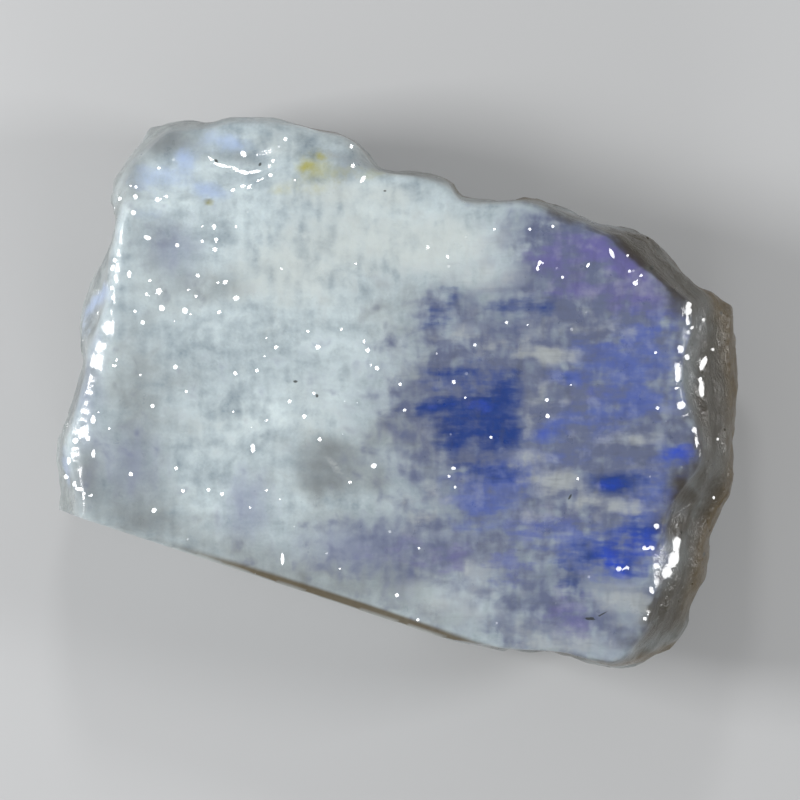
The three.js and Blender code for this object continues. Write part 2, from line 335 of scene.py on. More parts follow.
# The cleavage flats on the large face, its rim and the chip.
FLECKS: dict[Cleavage, tuple[Spot, ...]] = {
    Cleavage.LEFT: each(
        Spot,
        (-5.96, -1.85, 0.055), (-5.5, -0.37, 0.055), (-5.0, 0.47, 0.055), (-5.91, 3.82, 0.06),
        (-4.51, 2.46, 0.055), (-5.87, 4.17, 0.075, 0.055), (-5.46, -2.63, 0.06), (-3.92, 2.31, 0.06),
        (-2.21, -0.59, 0.05), (-4.14, 3.02, 0.06), (-5.39, 4.11, 0.065), (-5.7, 1.44, 0.055),
        (-0.63, 0.45, 0.06), (-4.98, -1.72, 0.05), (-3.68, 1.96, 0.09, 0.065, 20),
        (-5.35, 2.11, 0.08, 0.06), (-5.29, 1.75, 0.07), (-1.91, 0.9, 0.055), (-4.16, 3.52, 0.07, 0.045),
        (-4.79, 1.7, 0.075), (-2.68, -3.7, 0.15, 0.045), (-1.87, -1.09, 0.05), (-4.83, -2.21, 0.045),
        (-3.32, -1.27, 0.12, 0.06), (-6.0, 2.48, 0.09, 0.05), (-4.05, 1.66, 0.05), (-2.52, -0.27, 0.05),
        (-0.83, 0.84, 0.055), (-0.91, 1.03, 0.045), (-3.71, 0.34, 0.05), (-4.96, 3.11, 0.05),
        (-2.82, 0.9, 0.05), (-2.0, -0.09, 0.04), (-5.61, 3.28, 0.09, 0.05, -20), (-0.13, 0.1, 0.045),
        (-0.2, -4.47, 0.045), (-5.61, 2.05, 0.05), (-4.29, -2.19, 0.045), (-3.99, -2.28, 0.045),
        (-4.42, 3.2, 0.04), (-4.12, 3.24, 0.05), (-4.55, 2.01, 0.04), (-2.13, 1.25, 0.04),
        (-5.55, 2.35, 0.04), (-4.72, 2.14, 0.04), (-1.22, -2.02, 0.04), (-5.87, 1.68, 0.04),
        (-0.03, -0.46, 0.04), (-3.23, 0.4, 0.04), (-0.7, -1.67, 0.08, 0.065, 15), (1.03, 0.15, 0.05),
        (1.03, -1.72, 0.05), (0.93, -1.89, 0.045), (1.06, -2.13, 0.035), (0.9, 2.87, 0.045),
        (0.47, 3.07, 0.04), (1.49, 0.95, 0.04), (1.84, -1.05, 0.04), (2.18, 1.44, 0.04), (2.9, 2.74, 0.05),
        (2.85, 2.61, 0.07, 0.035), (3.07, -0.59, 0.06), (3.05, -0.24, 0.045), (3.39, 2.42, 0.045),
        (3.72, -1.95, 0.035), (2.68, 3.46, 0.04), (3.18, 3.52, 0.04), (3.94, 2.68, 0.07, 0.035, 60),
        (-6.32, 2.79, 0.055), (-6.37, 2.61, 0.06), (-6.3, 2.42, 0.07, 0.045), (-6.37, 2.18, 0.055),
        (-6.35, 1.98, 0.05), (-6.45, 1.32, 0.06), (-6.28, 0.64, 0.04), (-6.32, 0.51, 0.05),
        (-6.78, -0.66, 0.11, 0.06), (-6.89, -1.07, 0.055), (-6.77, -1.4, 0.1, 0.055), (-7.17, -1.13, 0.07),
        (-7.32, -1.56, 0.1, 0.06), (-7.39, -1.91, 0.06), (-7.19, -2.06, 0.09, 0.055),
        (-7.1, -2.17, 0.1, 0.05, 0), (-6.97, -2.28, 0.04), (-6.82, -2.3, 0.045),
        # the lens-shaped scar and the chip
        (-4.21, 4.97, 0.15, 0.032, -42), (-3.97, 4.85, 0.19, 0.038, -13), (-3.72, 4.78, 0.13, 0.042, -28),
        (-3.53, 4.71, 0.16, 0.045, -10), (-3.29, 4.71, 0.17, 0.048, 9), (-3.53, 5.1, 0.09, 0.06, 120),
        (-2.88, 4.95, 0.045), (-2.97, 4.84, 0.045), (-2.95, 4.63, 0.06, 0.05, 0),
        (-3.75, 4.32, 0.055, 0.045, 30), (-3.54, 4.4, 0.06, 0.045, 10), (-3.39, 4.38, 0.045),
        (-3.21, 4.5, 0.035), (-3.08, 4.57, 0.04), (-5.37, 4.8, 0.04), (-5.87, 4.39, 0.045),
        (-5.98, 4.41, 0.035), (-6.22, 4.13, 0.05), (-1.15, 4.84, 0.06), (-0.94, 4.54, 0.1, 0.05, 55),
        (-5.2, 4.17, 0.045), (-2.62, 5.42, 0.06, 0.05),
    ),
    Cleavage.RIGHT: each(
        Spot,
        (-1.19, 5.27, 0.06), (5.43, -2.97, 0.07), (6.25, -0.89, 0.065), (6.42, 0.0, 0.23, 0.075),
        (6.46, 0.55, 0.2, 0.075, 62), (6.4, 0.22, 0.05), (5.34, -3.45, 0.065),
        (5.32, -4.36, 0.09, 0.06, 110), (6.14, 1.83, 0.08, 0.06, 0), (6.12, 1.68, 0.12, 0.08),
        (6.1, 1.47, 0.09, 0.045), (5.88, -3.35, 0.19, 0.1, 80), (5.82, -3.68, 0.2, 0.14, 75),
        (5.66, -3.98, 0.16, 0.13, 60), (4.61, -3.9, 0.075, 0.06, 0), (4.79, -3.88, 0.05),
        (5.95, -0.35, 0.11), (6.47, 1.51, 0.045), (6.68, 0.86, 0.045), (5.43, -3.84, 0.07),
        (5.95, 0.86, 0.1, 0.075, -55), (6.1, 0.69, 0.075), (5.89, 0.35, 0.25, 0.065), (5.86, 0.02, 0.05),
        (5.17, -3.45, 0.06), (5.17, -4.98, 0.055), (6.21, 1.34, 0.045), (6.12, 1.23, 0.045),
        (6.29, -1.14, 0.17, 0.03, 96), (6.79, -1.09, 0.04), (6.71, -2.37, 0.04), (4.97, 2.29, 0.065),
        (4.84, 2.55, 0.045), (4.46, 2.93, 0.14, 0.05, 115), (4.8, 2.89, 0.035), (5.1, 2.46, 0.035),
        (5.45, -0.42, 0.045), (5.41, 0.79, 0.04),
    ),
}

# Dark grains in the stone.
SPECKS = each(
    Spot,
    (4.0, -4.98, 0.14, 0.04, 4), (4.25, -4.88, 0.14, 0.016, 28), (5.33, 2.63, 0.06, 0.045, 60),
    (6.88, 1.66, 0.045, 0.035), (6.51, -3.6, 0.045, 0.03), (3.55, -2.34, 0.07, 0.025, 60),
    (-2.4, 0.16, 0.05, 0.03, 0), (-1.93, -0.15, 0.04, 0.03), (-4.12, 4.95, 0.05, 0.032, -40),
    (-3.17, 4.87, 0.045, 0.03, 60), (-0.46, 4.29, 0.035, 0.02, 0),
)
FAR_GAP = 9.0  # what stands for no small spot near, in mm
CLEAR_GAP = 0.1  # the least gap written between two small spots, in mm


class Inside(Enum):
    """What the stone shows, each a soft mask in an attribute, with its painted sheen, gleams and shade."""

    CLEAR = "clear"
    BLUE = "blue"
    NAVY = "navy"
    ROYAL = "royal"
    VIOLET = "violet"
    PALE = "pale"
    CREAM = "cream"
    GREY = "grey"
    HAZE = "haze"
    BROWN = "brown_and_shade"
    TEA = "tea"
    AMBER = "amber_and_shade"
    GLEAM = "painted_gleam"
    OCHRE = "ochre"


FALL = 1.1  # how fast a dab fades outwards


@dataclass(frozen=True)
class Dab:
    """A soft-edged oval dab, seen from above.

    Attributes:
        u: Its middle along the streaks, in mm from the stone's middle.
        v: Its middle across the streaks.
        along: Its half-length along the streaks, in mm.
        across: Its half-width across them.
        strength: How strong it is in its middle.
        turn: How far it is turned from the streaks, in degrees.
        crisp: How sharp its edge is, from 1, soft.
    """

    u: float
    v: float
    along: float
    across: float
    strength: float = 1.0
    turn: float = 0.0
    crisp: float = 1.0

    def over(self, u: np.ndarray, v: np.ndarray) -> np.ndarray:
        """Measures the dab's strength at points.

        Args:
            u: The points' places along the streaks, in mm.
            v: Their places across the streaks.

        Returns:
            The strength at each point.
        """
        along, across = turned(u - self.u, v - self.v, self.turn)
        reach = (along / self.along) ** 2 + (across / self.across) ** 2
        return self.strength * np.exp(-FALL * reach**self.crisp)


# The chip at the upper left, and the lens-shaped scar in it, which is scooped out with a flattened ball.
CHIP = each(
    Dab,
    (-4.9, 4.75, 1.4, 0.8), (-3.2, 5.1, 1.3, 0.7), (-1.9, 5.1, 0.7, 0.5),
)
LENS = Dab(-3.6, 4.99, 0.8, 0.37, turn=0.7)
LENS_RISE = -0.2  # how high the ball's middle lies over the large face, in mm
LENS_DEPTH = 0.36  # how far the ball reaches down from its middle

# Where each kind of inner pattern lies, with the painted sheen, gleams and shade.
PATTERN: dict[Inside, tuple[Dab, ...]] = {
    # the clearer right half, where less milk hides the depth
    Inside.CLEAR: each(
        Dab,
        (4.2, -1.2, 4.0, 3.6, 1.0), (4.6, 2.0, 2.4, 1.5, 0.95), (3.4, 2.85, 1.3, 0.85, 0.75),
        (1.6, -0.6, 1.8, 2.1, 0.85), (0.8, 0.0, 1.2, 1.1, 0.5), (1.0, 1.5, 0.8, 0.8, 0.45),
        (0.4, -3.6, 2.4, 0.9, 0.5), (3.6, -5.0, 2.6, 1.4, 0.8), (3.6, 3.3, 1.6, 0.5, 0.7, -10),
        (1.1, -0.7, 1.2, 1.1, 0.6), (2.0, -2.0, 1.2, 0.7, 0.5), (3.6, 2.3, 1.2, 0.5, 0.7),
        (2.5, 1.2, 0.9, 0.4, 0.4),
    ),
    # the broad, bright part of the painted sheen
    Inside.BLUE: each(
        Dab,
        (4.8, 0.55, 1.0, 0.75, 0.85), (5.0, -0.31, 1.1, 0.3, 0.75), (4.2, -0.75, 0.9, 0.4, 0.5),
        (3.6, 0.25, 0.5, 0.26, 0.8), (3.7, 0.93, 0.5, 0.2, 0.45), (5.4, 1.4, 0.8, 0.5, 0.5),
        (3.14, -0.96, 0.5, 0.22, 1.0, 28), (1.7, -2.5, 0.85, 0.6, 0.7), (2.3, -1.93, 0.6, 0.25, 0.9, -12),
        (2.1, -1.9, 1.0, 0.4, 0.6), (3.3, -3.09, 1.2, 0.3, 0.55), (5.4, -2.2, 0.8, 0.6, 0.75),
        (5.2, -3.05, 0.6, 0.5, 0.85), (4.7, -3.9, 0.5, 0.3, 0.7), (3.8, -3.55, 0.8, 0.34, 0.7),
        (4.5, -3.6, 0.8, 0.5, 0.6), (3.3, -1.5, 1.1, 0.2, 0.45), (2.15, -3.95, 0.7, 0.5, 0.4),
        (1.5, 0.1, 1.4, 0.7, 0.3), (6.0, -1.36, 0.6, 0.35, 0.7),
    ),
    # the dark heart of the painted sheen and its outliers
    Inside.NAVY: each(
        Dab,
        (0.55, -0.42, 0.7, 0.2, 0.9), (1.5, -0.42, 0.85, 0.28, 1.3), (1.6, -0.3, 1.0, 0.9, 0.15),
        (1.4, -1.0, 0.7, 0.4, 0.5), (2.3, -1.2, 0.5, 0.4, 0.5), (2.0, -1.9, 0.9, 0.3, 0.5),
        (2.18, -0.13, 0.42, 0.3, 0.9), (2.3, 0.28, 0.26, 0.3, 0.4), (1.1, -0.95, 0.32, 0.55, 1.0),
        (2.05, -0.95, 0.62, 0.42, 1.05), (1.55, -0.75, 0.7, 0.45, 0.5), (1.15, 0.3, 0.8, 0.3, 0.7),
        (0.67, 1.6, 0.5, 0.5, 0.5), (0.92, 1.98, 0.25, 0.22, 0.4), (2.1, 1.67, 0.45, 0.22, 0.5),
        (2.85, 1.8, 0.6, 0.26, 0.6), (2.27, 1.24, 0.5, 0.15, 0.35), (1.7, -1.65, 0.5, 0.28, 0.5),
        (2.3, -1.93, 0.4, 0.15, 0.5), (4.45, -2.03, 0.85, 0.32, 1.05), (5.1, -3.1, 0.55, 0.45, 0.7),
        (3.95, -3.6, 0.6, 0.3, 0.7), (3.5, -4.25, 0.55, 0.28, 0.5, -38), (3.6, 0.3, 0.35, 0.16, 0.35),
        (4.9, -0.31, 0.8, 0.16, 0.3), (4.6, -3.7, 0.6, 0.36, 0.55, -30),
    ),
    # where the painted sheen is purest
    Inside.ROYAL: each(
        Dab,
        (1.6, -0.43, 0.4, 0.18, 0.3), (1.0, -0.42, 0.9, 0.14, 0.22), (4.4, -2.05, 0.5, 0.16, 0.6),
        (6.05, -1.36, 0.4, 0.2, 0.7), (4.42, -3.72, 0.42, 0.26, 1.0, -40), (5.0, -3.3, 0.5, 0.36, 0.65),
        (3.14, -0.96, 0.3, 0.12, 0.4, 28), (2.3, -1.95, 0.35, 0.12, 0.3, -12),
    ),
    # the painted sheen's violet part
    Inside.VIOLET: each(
        Dab,
        (4.19, 3.0, 0.9, 0.3, 1.0, -14), (4.8, 2.6, 0.6, 0.3, 0.95, -40), (3.08, 2.75, 0.6, 0.34, 0.75),
        (3.7, 2.15, 1.1, 0.34, 0.55), (4.9, 2.0, 0.9, 0.4, 0.5, -10), (5.3, 1.5, 0.7, 0.5, 0.35),
        (0.1, -3.45, 1.0, 0.45, 0.22), (3.5, -4.9, 0.6, 0.6, 0.6), (3.0, -2.9, 1.4, 0.5, 0.3),
        (1.0, -3.7, 0.8, 0.4, 0.28), (4.0, -0.1, 0.9, 0.3, 0.35), (-1.2, -3.55, 0.9, 0.4, 0.14),
        (4.6, 0.9, 0.8, 0.4, 0.3), (2.3, -4.0, 0.6, 0.5, 0.3),
    ),
    # milky veils over the sheen
    Inside.PALE: each(
        Dab,
        (3.08, 0.69, 0.7, 0.24, 0.85), (3.4, -2.08, 0.8, 0.32, 0.8), (4.5, -2.5, 1.0, 0.2, 0.7),
        (4.2, 1.3, 0.9, 0.24, 0.4), (2.03, 0.87, 0.9, 0.3, 0.25), (0.97, 1.15, 0.8, 0.26, 0.35),
        (2.7, -0.68, 0.2, 0.65, 0.5), (3.2, -0.15, 0.5, 0.35, 0.4), (2.65, -1.5, 0.7, 0.24, 0.5),
        (2.65, -2.8, 0.7, 0.2, 0.45), (4.9, -1.05, 0.9, 0.22, 0.4), (5.0, -4.65, 0.9, 0.5, 0.6, -15),
        (-1.47, -1.7, 0.6, 0.08, 0.7, -48), (3.2, 3.6, 0.9, 0.25, 0.25, -8),
        (3.2, -5.6, 1.8, 0.3, 0.5, -16), (0.48, -2.5, 0.6, 0.5, 0.4),
    ),
    # thick milk that hides the depth
    Inside.CREAM: each(
        Dab,
        (-1.7, 4.3, 1.4, 0.35, 0.9, -6), (-0.5, 4.2, 0.8, 0.3, 0.8), (1.5, -4.0, 0.7, 0.35, 0.5),
        (1.3, 1.25, 0.6, 0.22, 0.4), (1.5, 2.25, 0.7, 0.3, 0.4), (4.5, -4.55, 0.9, 0.4, 0.6, -15),
        (3.9, -5.5, 1.4, 0.35, 0.5, -16), (5.1, -5.0, 0.6, 0.4, 0.3), (0.79, -4.7, 1.3, 0.45, 0.5, -18),
        (0.8, 3.2, 1.4, 0.6, 0.95), (1.7, 2.45, 0.9, 0.34, 0.6), (0.3, 2.9, 0.9, 0.5, 0.7),
        (-2.5, 2.5, 1.5, 0.9, 0.85), (-1.2, 3.3, 1.4, 0.7, 0.85), (-2.2, -0.7, 1.6, 0.6, 0.4),
        (3.0, 0.72, 0.5, 0.14, 0.5), (-2.7, 5.3, 0.7, 0.34, 0.6), (3.35, -2.05, 0.45, 0.2, 0.35),
        (-4.3, -0.9, 0.8, 0.8, 0.3),
    ),
    Inside.GREY: each(
        Dab,
        (-1.62, -1.7, 0.82, 0.74, 0.7, 0.0, 2.2), (-1.9, -1.85, 0.5, 0.55, 0.4),
        (-0.7, -1.1, 0.3, 0.3, 0.4), (-0.4, -0.75, 0.6, 0.4, 0.4), (0.3, 0.1, 0.6, 0.7, 0.65),
        (0.2, -1.0, 0.7, 0.6, 0.6), (-0.6, -1.9, 0.4, 0.5, 0.7), (-2.9, -1.9, 0.7, 0.5, 0.35),
        (-3.7, 2.3, 0.7, 0.45, 0.4), (-4.8, 0.2, 0.8, 0.6, 0.3), (0.4, 1.1, 0.5, 0.3, 0.3),
        (0.0, 1.9, 1.0, 0.6, 0.4), (-0.6, 1.2, 0.6, 0.5, 0.3), (-1.6, -2.8, 1.0, 0.4, 0.4),
        (-4.7, -0.9, 0.8, 0.4, 0.3), (0.0, -4.0, 1.0, 0.5, 0.5), (-4.4, 2.2, 0.9, 0.5, 0.4),
        (-5.8, -2.9, 0.6, 0.3, 0.6, -18), (0.5, -0.9, 0.6, 0.4, 0.5), (0.5, -1.8, 0.5, 0.5, 0.4),
        (-1.1, -3.7, 1.6, 0.8, 0.55), (-5.9, -0.4, 0.8, 2.2, 0.6), (-5.9, -2.3, 1.2, 1.0, 0.45),
        (-5.3, 2.6, 0.9, 1.1, 0.4), (-5.15, 5.3, 1.0, 0.5, 1.0), (-5.9, 4.7, 0.45, 0.8, 0.7),
        (-1.3, 4.95, 0.45, 0.45, 0.5), (-3.4, 4.95, 0.6, 0.2, 0.5), (0.2, -2.9, 0.9, 0.6, 0.3),
        # (-6.9, -1.9) and (-6.95, 0.2) darken the left rim between its flats: painted shade
        (-3.2, -3.75, 3.6, 0.6, 0.6, -18.3), (0.9, -5.0, 1.6, 0.4, 0.4, -18.3), (-6.9, -1.9, 0.4, 0.8, 0.8),
        (-6.95, 0.2, 0.3, 0.5, 0.6), (-1.7, -1.1, 1.6, 0.3, 0.3), (-2.2, 0.0, 0.8, 0.5, 0.25),
    ),
    # a bluish haze in the milk
    Inside.HAZE: each(
        Dab,
        (-5.0, 3.0, 0.7, 0.8, 0.7), (-3.4, -2.4, 0.6, 0.7, 0.8), (-0.9, -3.4, 1.6, 0.6, 1.0),
        (-3.7, -2.95, 0.6, 0.4, 0.5), (-5.9, -1.6, 0.7, 0.9, 0.7), (1.0, -3.5, 1.2, 0.7, 0.6),
        (0.8, 1.6, 0.7, 0.6, 0.45), (-6.9, 0.0, 0.4, 2.2, 0.6), (-1.3, 4.9, 0.7, 0.5, 0.4),
    ),
    # the walls on the right, where the stone looks smoky: partly its own tint, partly painted shade
    Inside.BROWN: each(
        Dab,
        (3.4, 3.95, 1.4, 0.34, 0.8, -12), (5.0, 3.2, 1.6, 0.55, 1.1, -38), (6.1, 2.3, 0.7, 0.8, 0.8, -40),
        (7.0, 0.4, 0.8, 2.6, 1.1), (6.7, -2.8, 1.0, 2.0, 1.1, -14), (5.9, -4.9, 1.2, 0.9, 1.1, -30),
        (4.2, -5.95, 2.0, 0.3, 0.7),
    ),
    # where the same smoky colour, partly painted shade, also shows through the large face and its rim
    Inside.TEA: each(
        Dab,
        (6.0, -2.2, 0.35, 0.6, 0.9, -8), (5.75, -2.9, 0.36, 0.4, 0.95), (6.4, -3.5, 0.55, 1.2, 1.0, -12),
        (5.7, -5.0, 0.7, 0.4, 0.8, 40), (5.85, -4.3, 0.5, 0.6, 0.9), (5.4, 3.3, 0.8, 0.16, 0.6, -36),
        (-4.24, 4.05, 0.09, 0.06, 0.7), (4.7, 3.4, 0.7, 0.25, 0.8, -30), (5.35, -5.4, 0.65, 0.42, 0.6, 35),
        (5.5, -4.75, 0.4, 0.45, 0.5),
    ),
    Inside.OCHRE: each(
        Dab,
        (-1.78, 5.12, 0.11, 0.11, 0.9), (-2.15, 4.85, 0.16, 0.1, 0.85, 25), (-1.9, 4.8, 0.55, 0.5, 0.55),
        (-4.22, 4.04, 0.12, 0.08, 0.5), (-0.6, 4.75, 0.9, 0.22, 0.3), (-2.6, 4.35, 0.7, 0.2, 0.25),
    ),
    # painted reflections: pale blue gleams in the chip and on the left rim
    Inside.GLEAM: each(
        Dab,
        (-3.7, 5.2, 0.55, 0.24, 0.9), (-4.65, 4.8, 0.26, 0.24, 1.0), (-4.2, 4.25, 0.42, 0.2, 0.95),
        (-5.3, 4.45, 0.7, 0.36, 0.65), (-6.75, 2.05, 0.3, 0.25, 0.9), (-7.0, 1.5, 0.2, 0.35, 0.6),
        (-7.4, -1.65, 0.22, 0.45, 0.8), (-5.55, 3.75, 0.4, 0.2, 0.4),
    ),
    # thin edges: partly the stone's own tint, partly painted shade along the outline
    Inside.AMBER: each(
        Dab,
        (7.3, 0.5, 0.9, 3.2, 1.0), (6.9, -3.6, 1.0, 2.0, 1.0), (5.0, 3.9, 2.2, 0.7, 0.9, -30),
        (1.6, 4.5, 2.4, 0.5, 0.6, -12), (-1.5, 5.4, 1.0, 0.4, 0.5), (-1.2, -4.72, 3.6, 0.4, 1.0, -18.3),
        (5.0, -6.1, 1.6, 0.4, 0.9, -20),
    ),
}

# How far under the large face the patterns show on the walls: where they start and stop fading, in mm.
FADES: dict[Inside, Range] = {
    Inside.BLUE: (0.3, 1.3), Inside.NAVY: (0.3, 1.2), Inside.ROYAL: (0.3, 1.0), Inside.VIOLET: (0.3, 1.4),
    Inside.PALE: (0.3, 1.4), Inside.CREAM: (0.8, 2.4), Inside.GREY: (0.6, 2.2), Inside.HAZE: (0.6, 2.6),
    Inside.OCHRE: (1.0, 1.8), Inside.GLEAM: (0.9, 1.9), Inside.TEA: (0.8, 2.4), Inside.CLEAR: (0.4, 2.4),
}


# ---- The stone --------------------------------------------------------------------------------------


@dataclass(frozen=True)
class Relief:
    """A relief that is pressed into one region of the surface.

    Attributes:
        name: Its name.
        region: The region.
        depth: Its full depth, in mm.
        kind: Blender's name for its kind of texture.
        settings: The texture's properties.
        stretch: How far it is drawn out along each axis.
        turn: Its turn about +Z, in radians.
        midlevel: The texture's value that doesn't move the surface.
    """

    name: str
    region: Region
    depth: float
    kind: str
    settings: dict[str, object]
    stretch: Point = (1.0, 1.0, 1.0)
    turn: float = 0.0
    midlevel: float = 1.0


STRATA = 0.33  # height between two of the fine ledges on the walls, in mm
BAND_PERIOD = math.tau / 10  # the band texture's own period
LEVEL = 40.0  # how far the ledges are drawn out along the slab
LEDGE = {"wood_type": "BANDNOISE", "noise_basis_2": "SAW", "noise_scale": 0.6, "turbulence": 5}
SPLINTER = {"noise_scale": 0.5, "distance_metric": "DISTANCE"}
FACE_RELIEFS = (
    Relief(
        "slow waves", Region.LARGE_FACE, 0.06, "CLOUDS", {"noise_scale": 1.5, "noise_depth": 2},
        (1.5, 0.8, 1.0), STREAKS,
    ),
    Relief(
        "ripples", Region.CHIP, 0.05, "CLOUDS", {"noise_scale": 0.5, "noise_depth": 2},
        (1.6, 0.8, 1.0), STREAKS,
    ),
)
WALL_RELIEFS = (
    Relief(
        "swells", Region.WALLS, 0.22, "CLOUDS", {"noise_scale": 0.9, "noise_depth": 3},
        (1.0, 1.0, 0.8), midlevel=0.6,
    ),
    Relief("ledges", Region.WALLS, 0.04, "WOOD", LEDGE, (LEVEL, LEVEL, STRATA / BAND_PERIOD)),
    Relief("splinters", Region.WALLS, 0.08, "VORONOI", SPLINTER, (1.0, 1.0, 0.6)),
    Relief("grit", Region.WALLS, 0.03, "CLOUDS", {"noise_scale": 0.14, "noise_depth": 2}),
)

# How many times each region is smoothed.
SMOOTHINGS = {Region.LARGE_FACE: 40, Region.CHIP: 70, Region.WALLS: 5, Region.RIM: 24}
WEIGHT_STEPS = 16  # how many steps a region's soft edge has

# Where a soft edge begins and where it ends: first the share of a normal along an axis, then mm.
UPWARD = (0.93, 0.98)
SQUARE_ON = (0.85, 0.92)
SAWN_FACING = (0.6, 0.9)
FACE_LEVEL = (-0.55, -0.4)
RIM_LEVEL = (-0.75, -0.35)
CHIP_LEVEL = (-1.3, -0.8)
WALL_LEVEL = (0.1, 0.55)
BRINK_CUT = (-0.26, -0.07)
BRINK_LEVEL = (-0.5, -0.2)
SAWN_CUT = (-0.03, -0.005)
THIN_STONE = (0.3, 2.5)
CHIP_DEPTH = 1.6  # how far under the large face the chip reaches, in mm
CHIP_WIDE = 2.0  # how far the chip's soft edge is pushed out where its surface is worked
CHIP_TIGHT = 1.6  # and where its colour is kept
CHIP_SPARED = 0.8  # how much less the walls' relief acts in the chip
RIM_SPARED = 0.6  # and on the rim
NEAR_PLANE = 0.1  # how near its plane a flat side lies before it is trued up, in mm
TRUED = 0.03  # what is brought back to a flat side's plane, in mm
SWAY_ALONG = (2.3, 1.1)  # how the pattern's sway along the streaks changes with height and across them
SWAY_ACROSS = (1.9, 0.8)  # how its sway across them changes with height and along them
SPOTS_ABOVE = 0.4  # the share of the stone's height above which small spots show
SPOTS_FACING = 0.05  # how far up a surface must look to show them

# How a flake's hollow varies: its radius, how far out of the edge it sits as a share of that radius, and
# its size along each axis.
FLAKE_SHARE = (0.6, 1.0)
FLAKE_RISE = (0.6, 0.85)
FLAKE_SQUASH = ((0.75, 1.0), (0.75, 1.0), (0.6, 1.0))
FLAKES_APART = 1.1  # least distance of two hollows cut at once, as a share of their radii


@dataclass
class StoneSlab:
    """The stone, from the frame's solid to the finished piece.

    Attributes:
        node: The frame's node that the piece stands for.
        name: The finished piece's name.
        rough_voxel: Mesh size while the surface is worked, in mm.
        voxel: Mesh size of the finished surface.
        sharp: Least angle at which an edge is sharp enough to flake, in radians.
        flakes: How many flakes are split off the edges.
        flake_sizes: Least and largest radius of a flake's hollow, in mm.
        flat_tilt: Slope of the small flats struck off the large face's rim, in degrees.
        tilt_play: How far the slope varies, in degrees.
        bearing_play: How far the bearing varies.
        spin: How far a flat's corners are turned about the way that it looks, in radians.
        spin_rate: How fast that turn changes along the rim, in radians for each mm.
        reach: How far round its place a flat looks for the highest point of the rim, in mm.
        sway: How far the inner pattern wanders sideways on its way down, as a share of the depth.
        softening: How many times the thin rims' amber is softened over the surface.
        seed: Seed of the flakes' places.
        thickness: The stone's height, in mm.
        sawn_y: The plane of the sawn face, in mm.
        piece: The stone while it is worked.
    """

    node: str
    name: str
    rough_voxel: float = 0.052
    voxel: float = 0.072
    sharp: float = 0.62
    flakes: int = 110
    flake_sizes: Range = (0.13, 0.45)
    flat_tilt: float = 28.0
    tilt_play: float = 4.0
    bearing_play: float = 9.0
    spin: float = 0.8
    spin_rate: float = 7.0
    reach: float = 0.26
    sway: float = 0.3
    softening: int = 60
    seed: int = 11
    thickness: float = field(init=False)
    sawn_y: float = field(init=False)
    piece: Piece = field(init=False)

    def __post_init__(self) -> None:
        """Reads the stone's thickness and sawn plane from the frame, in mm."""
        low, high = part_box(self.node)
        self.thickness = high.z * BENCH
        self.sawn_y = low.y * BENCH

    def build(self) -> Piece:
        """Works the stone from start to finish.

        Returns:
            The finished piece, without its finish.
        """
        self.piece = self.lift_from_frame()
        self.split_flakes()
        self.remesh(self.rough_voxel)
        self.mark_regions()
        self.work_surfaces()
        self.strike_rim()
        self.scoop_lens()
        self.remesh(self.voxel)
        self.fill_box()
        self.true_up()
        self.piece.vertex_groups.clear()
        scale_all(self.piece, 1.0 / BENCH)
        self.dab_pattern()
        self.mark_sides()
        self.place_spots()
        log.info("%s: %d faces", self.piece.name, len(self.piece.data.polygons))
        return self.piece

    def lift_from_frame(self) -> Piece:
        """Copies the frame's solid, merges its triangles and brings it to the bench's scale.

        Returns:
            The copy.
        """
        take(frame["nodes"][self.node])
        bpy.ops.object.duplicate()
        piece = bpy.context.active_object
        bpy.ops.object.parent_clear(type="CLEAR_KEEP_TRANSFORM")
        piece.name = self.name
        piece.data.name = self.name
        for key in list(piece.keys()):
            del piece[key]
        scale_all(piece, BENCH)
        bpy.ops.object.mode_set(mode="EDIT")
        bpy.ops.mesh.select_all(action="SELECT")
        bpy.ops.mesh.remove_doubles(threshold=0.001)
        bpy.ops.mesh.normals_make_consistent(inside=False)
        bpy.ops.object.mode_set(mode="OBJECT")
        return piece

    def remesh(self, voxel: float) -> None:
        """Gives the whole surface one even mesh of a given size."""
        add_modifier(self.piece, "REMESH", mode="VOXEL", voxel_size=voxel, adaptivity=0.0)

    def subtract(self, tools: list[Piece]) -> None:
        """Cuts tools that don't touch each other out of the stone, all at once.

        Args:
            tools: The tools, which are used up.
        """
        clear_selection()
        for tool in tools:
            tool.select_set(True)
        bpy.context.view_layer.objects.active = tools[0]
        bpy.ops.object.join()
        joined = bpy.context.active_object
        add_modifier(self.piece, "BOOLEAN", operation="DIFFERENCE", solver="MANIFOLD", object=joined)
        bpy.data.objects.remove(joined)

    def sharp_places(self) -> list[tuple[Vector, Vector, float]]:
        """Finds the sharp edges.

        Returns:
            Each sharp edge's middle, outward direction and length.
        """
        mesh = bmesh.new()
        mesh.from_mesh(self.piece.data)
        found = []
        for edge in mesh.edges:
            if edge.is_convex and edge.calc_face_angle(0.0) > self.sharp:
                ends = [vertex.co for vertex in edge.verts]
                outward = (edge.link_faces[0].normal + edge.link_faces[1].normal).normalized()
                found.append(((ends[0] + ends[1]) / 2, outward, (ends[0] - ends[1]).length))
        mesh.free()
        return found

    def split_flakes(self) -> None:
        """Splits shallow flakes off the sharp edges, as rough handling does."""
        dice = random.Random(self.seed)
        places = self.sharp_places()
        chosen = dice.choices(places, weights=[length for _, _, length in places], k=self.flakes)
        batches: list[list[tuple[Vector, float]]] = []
        for middle, outward, _ in chosen:
            radius = dice.uniform(*self.flake_sizes) * dice.uniform(*FLAKE_SHARE)
            hollow = (middle + outward * radius * dice.uniform(*FLAKE_RISE), radius)
            batch = next((batch for batch in batches if self.is_clear(hollow, batch)), None)
            if batch is None:
                batch = []
                batches.append(batch)
            batch.append(hollow)
        for batch in batches:
            self.subtract([self.ball(centre, radius, dice) for centre, radius in batch])
        log.info("%d flakes in %d batches", len(chosen), len(batches))

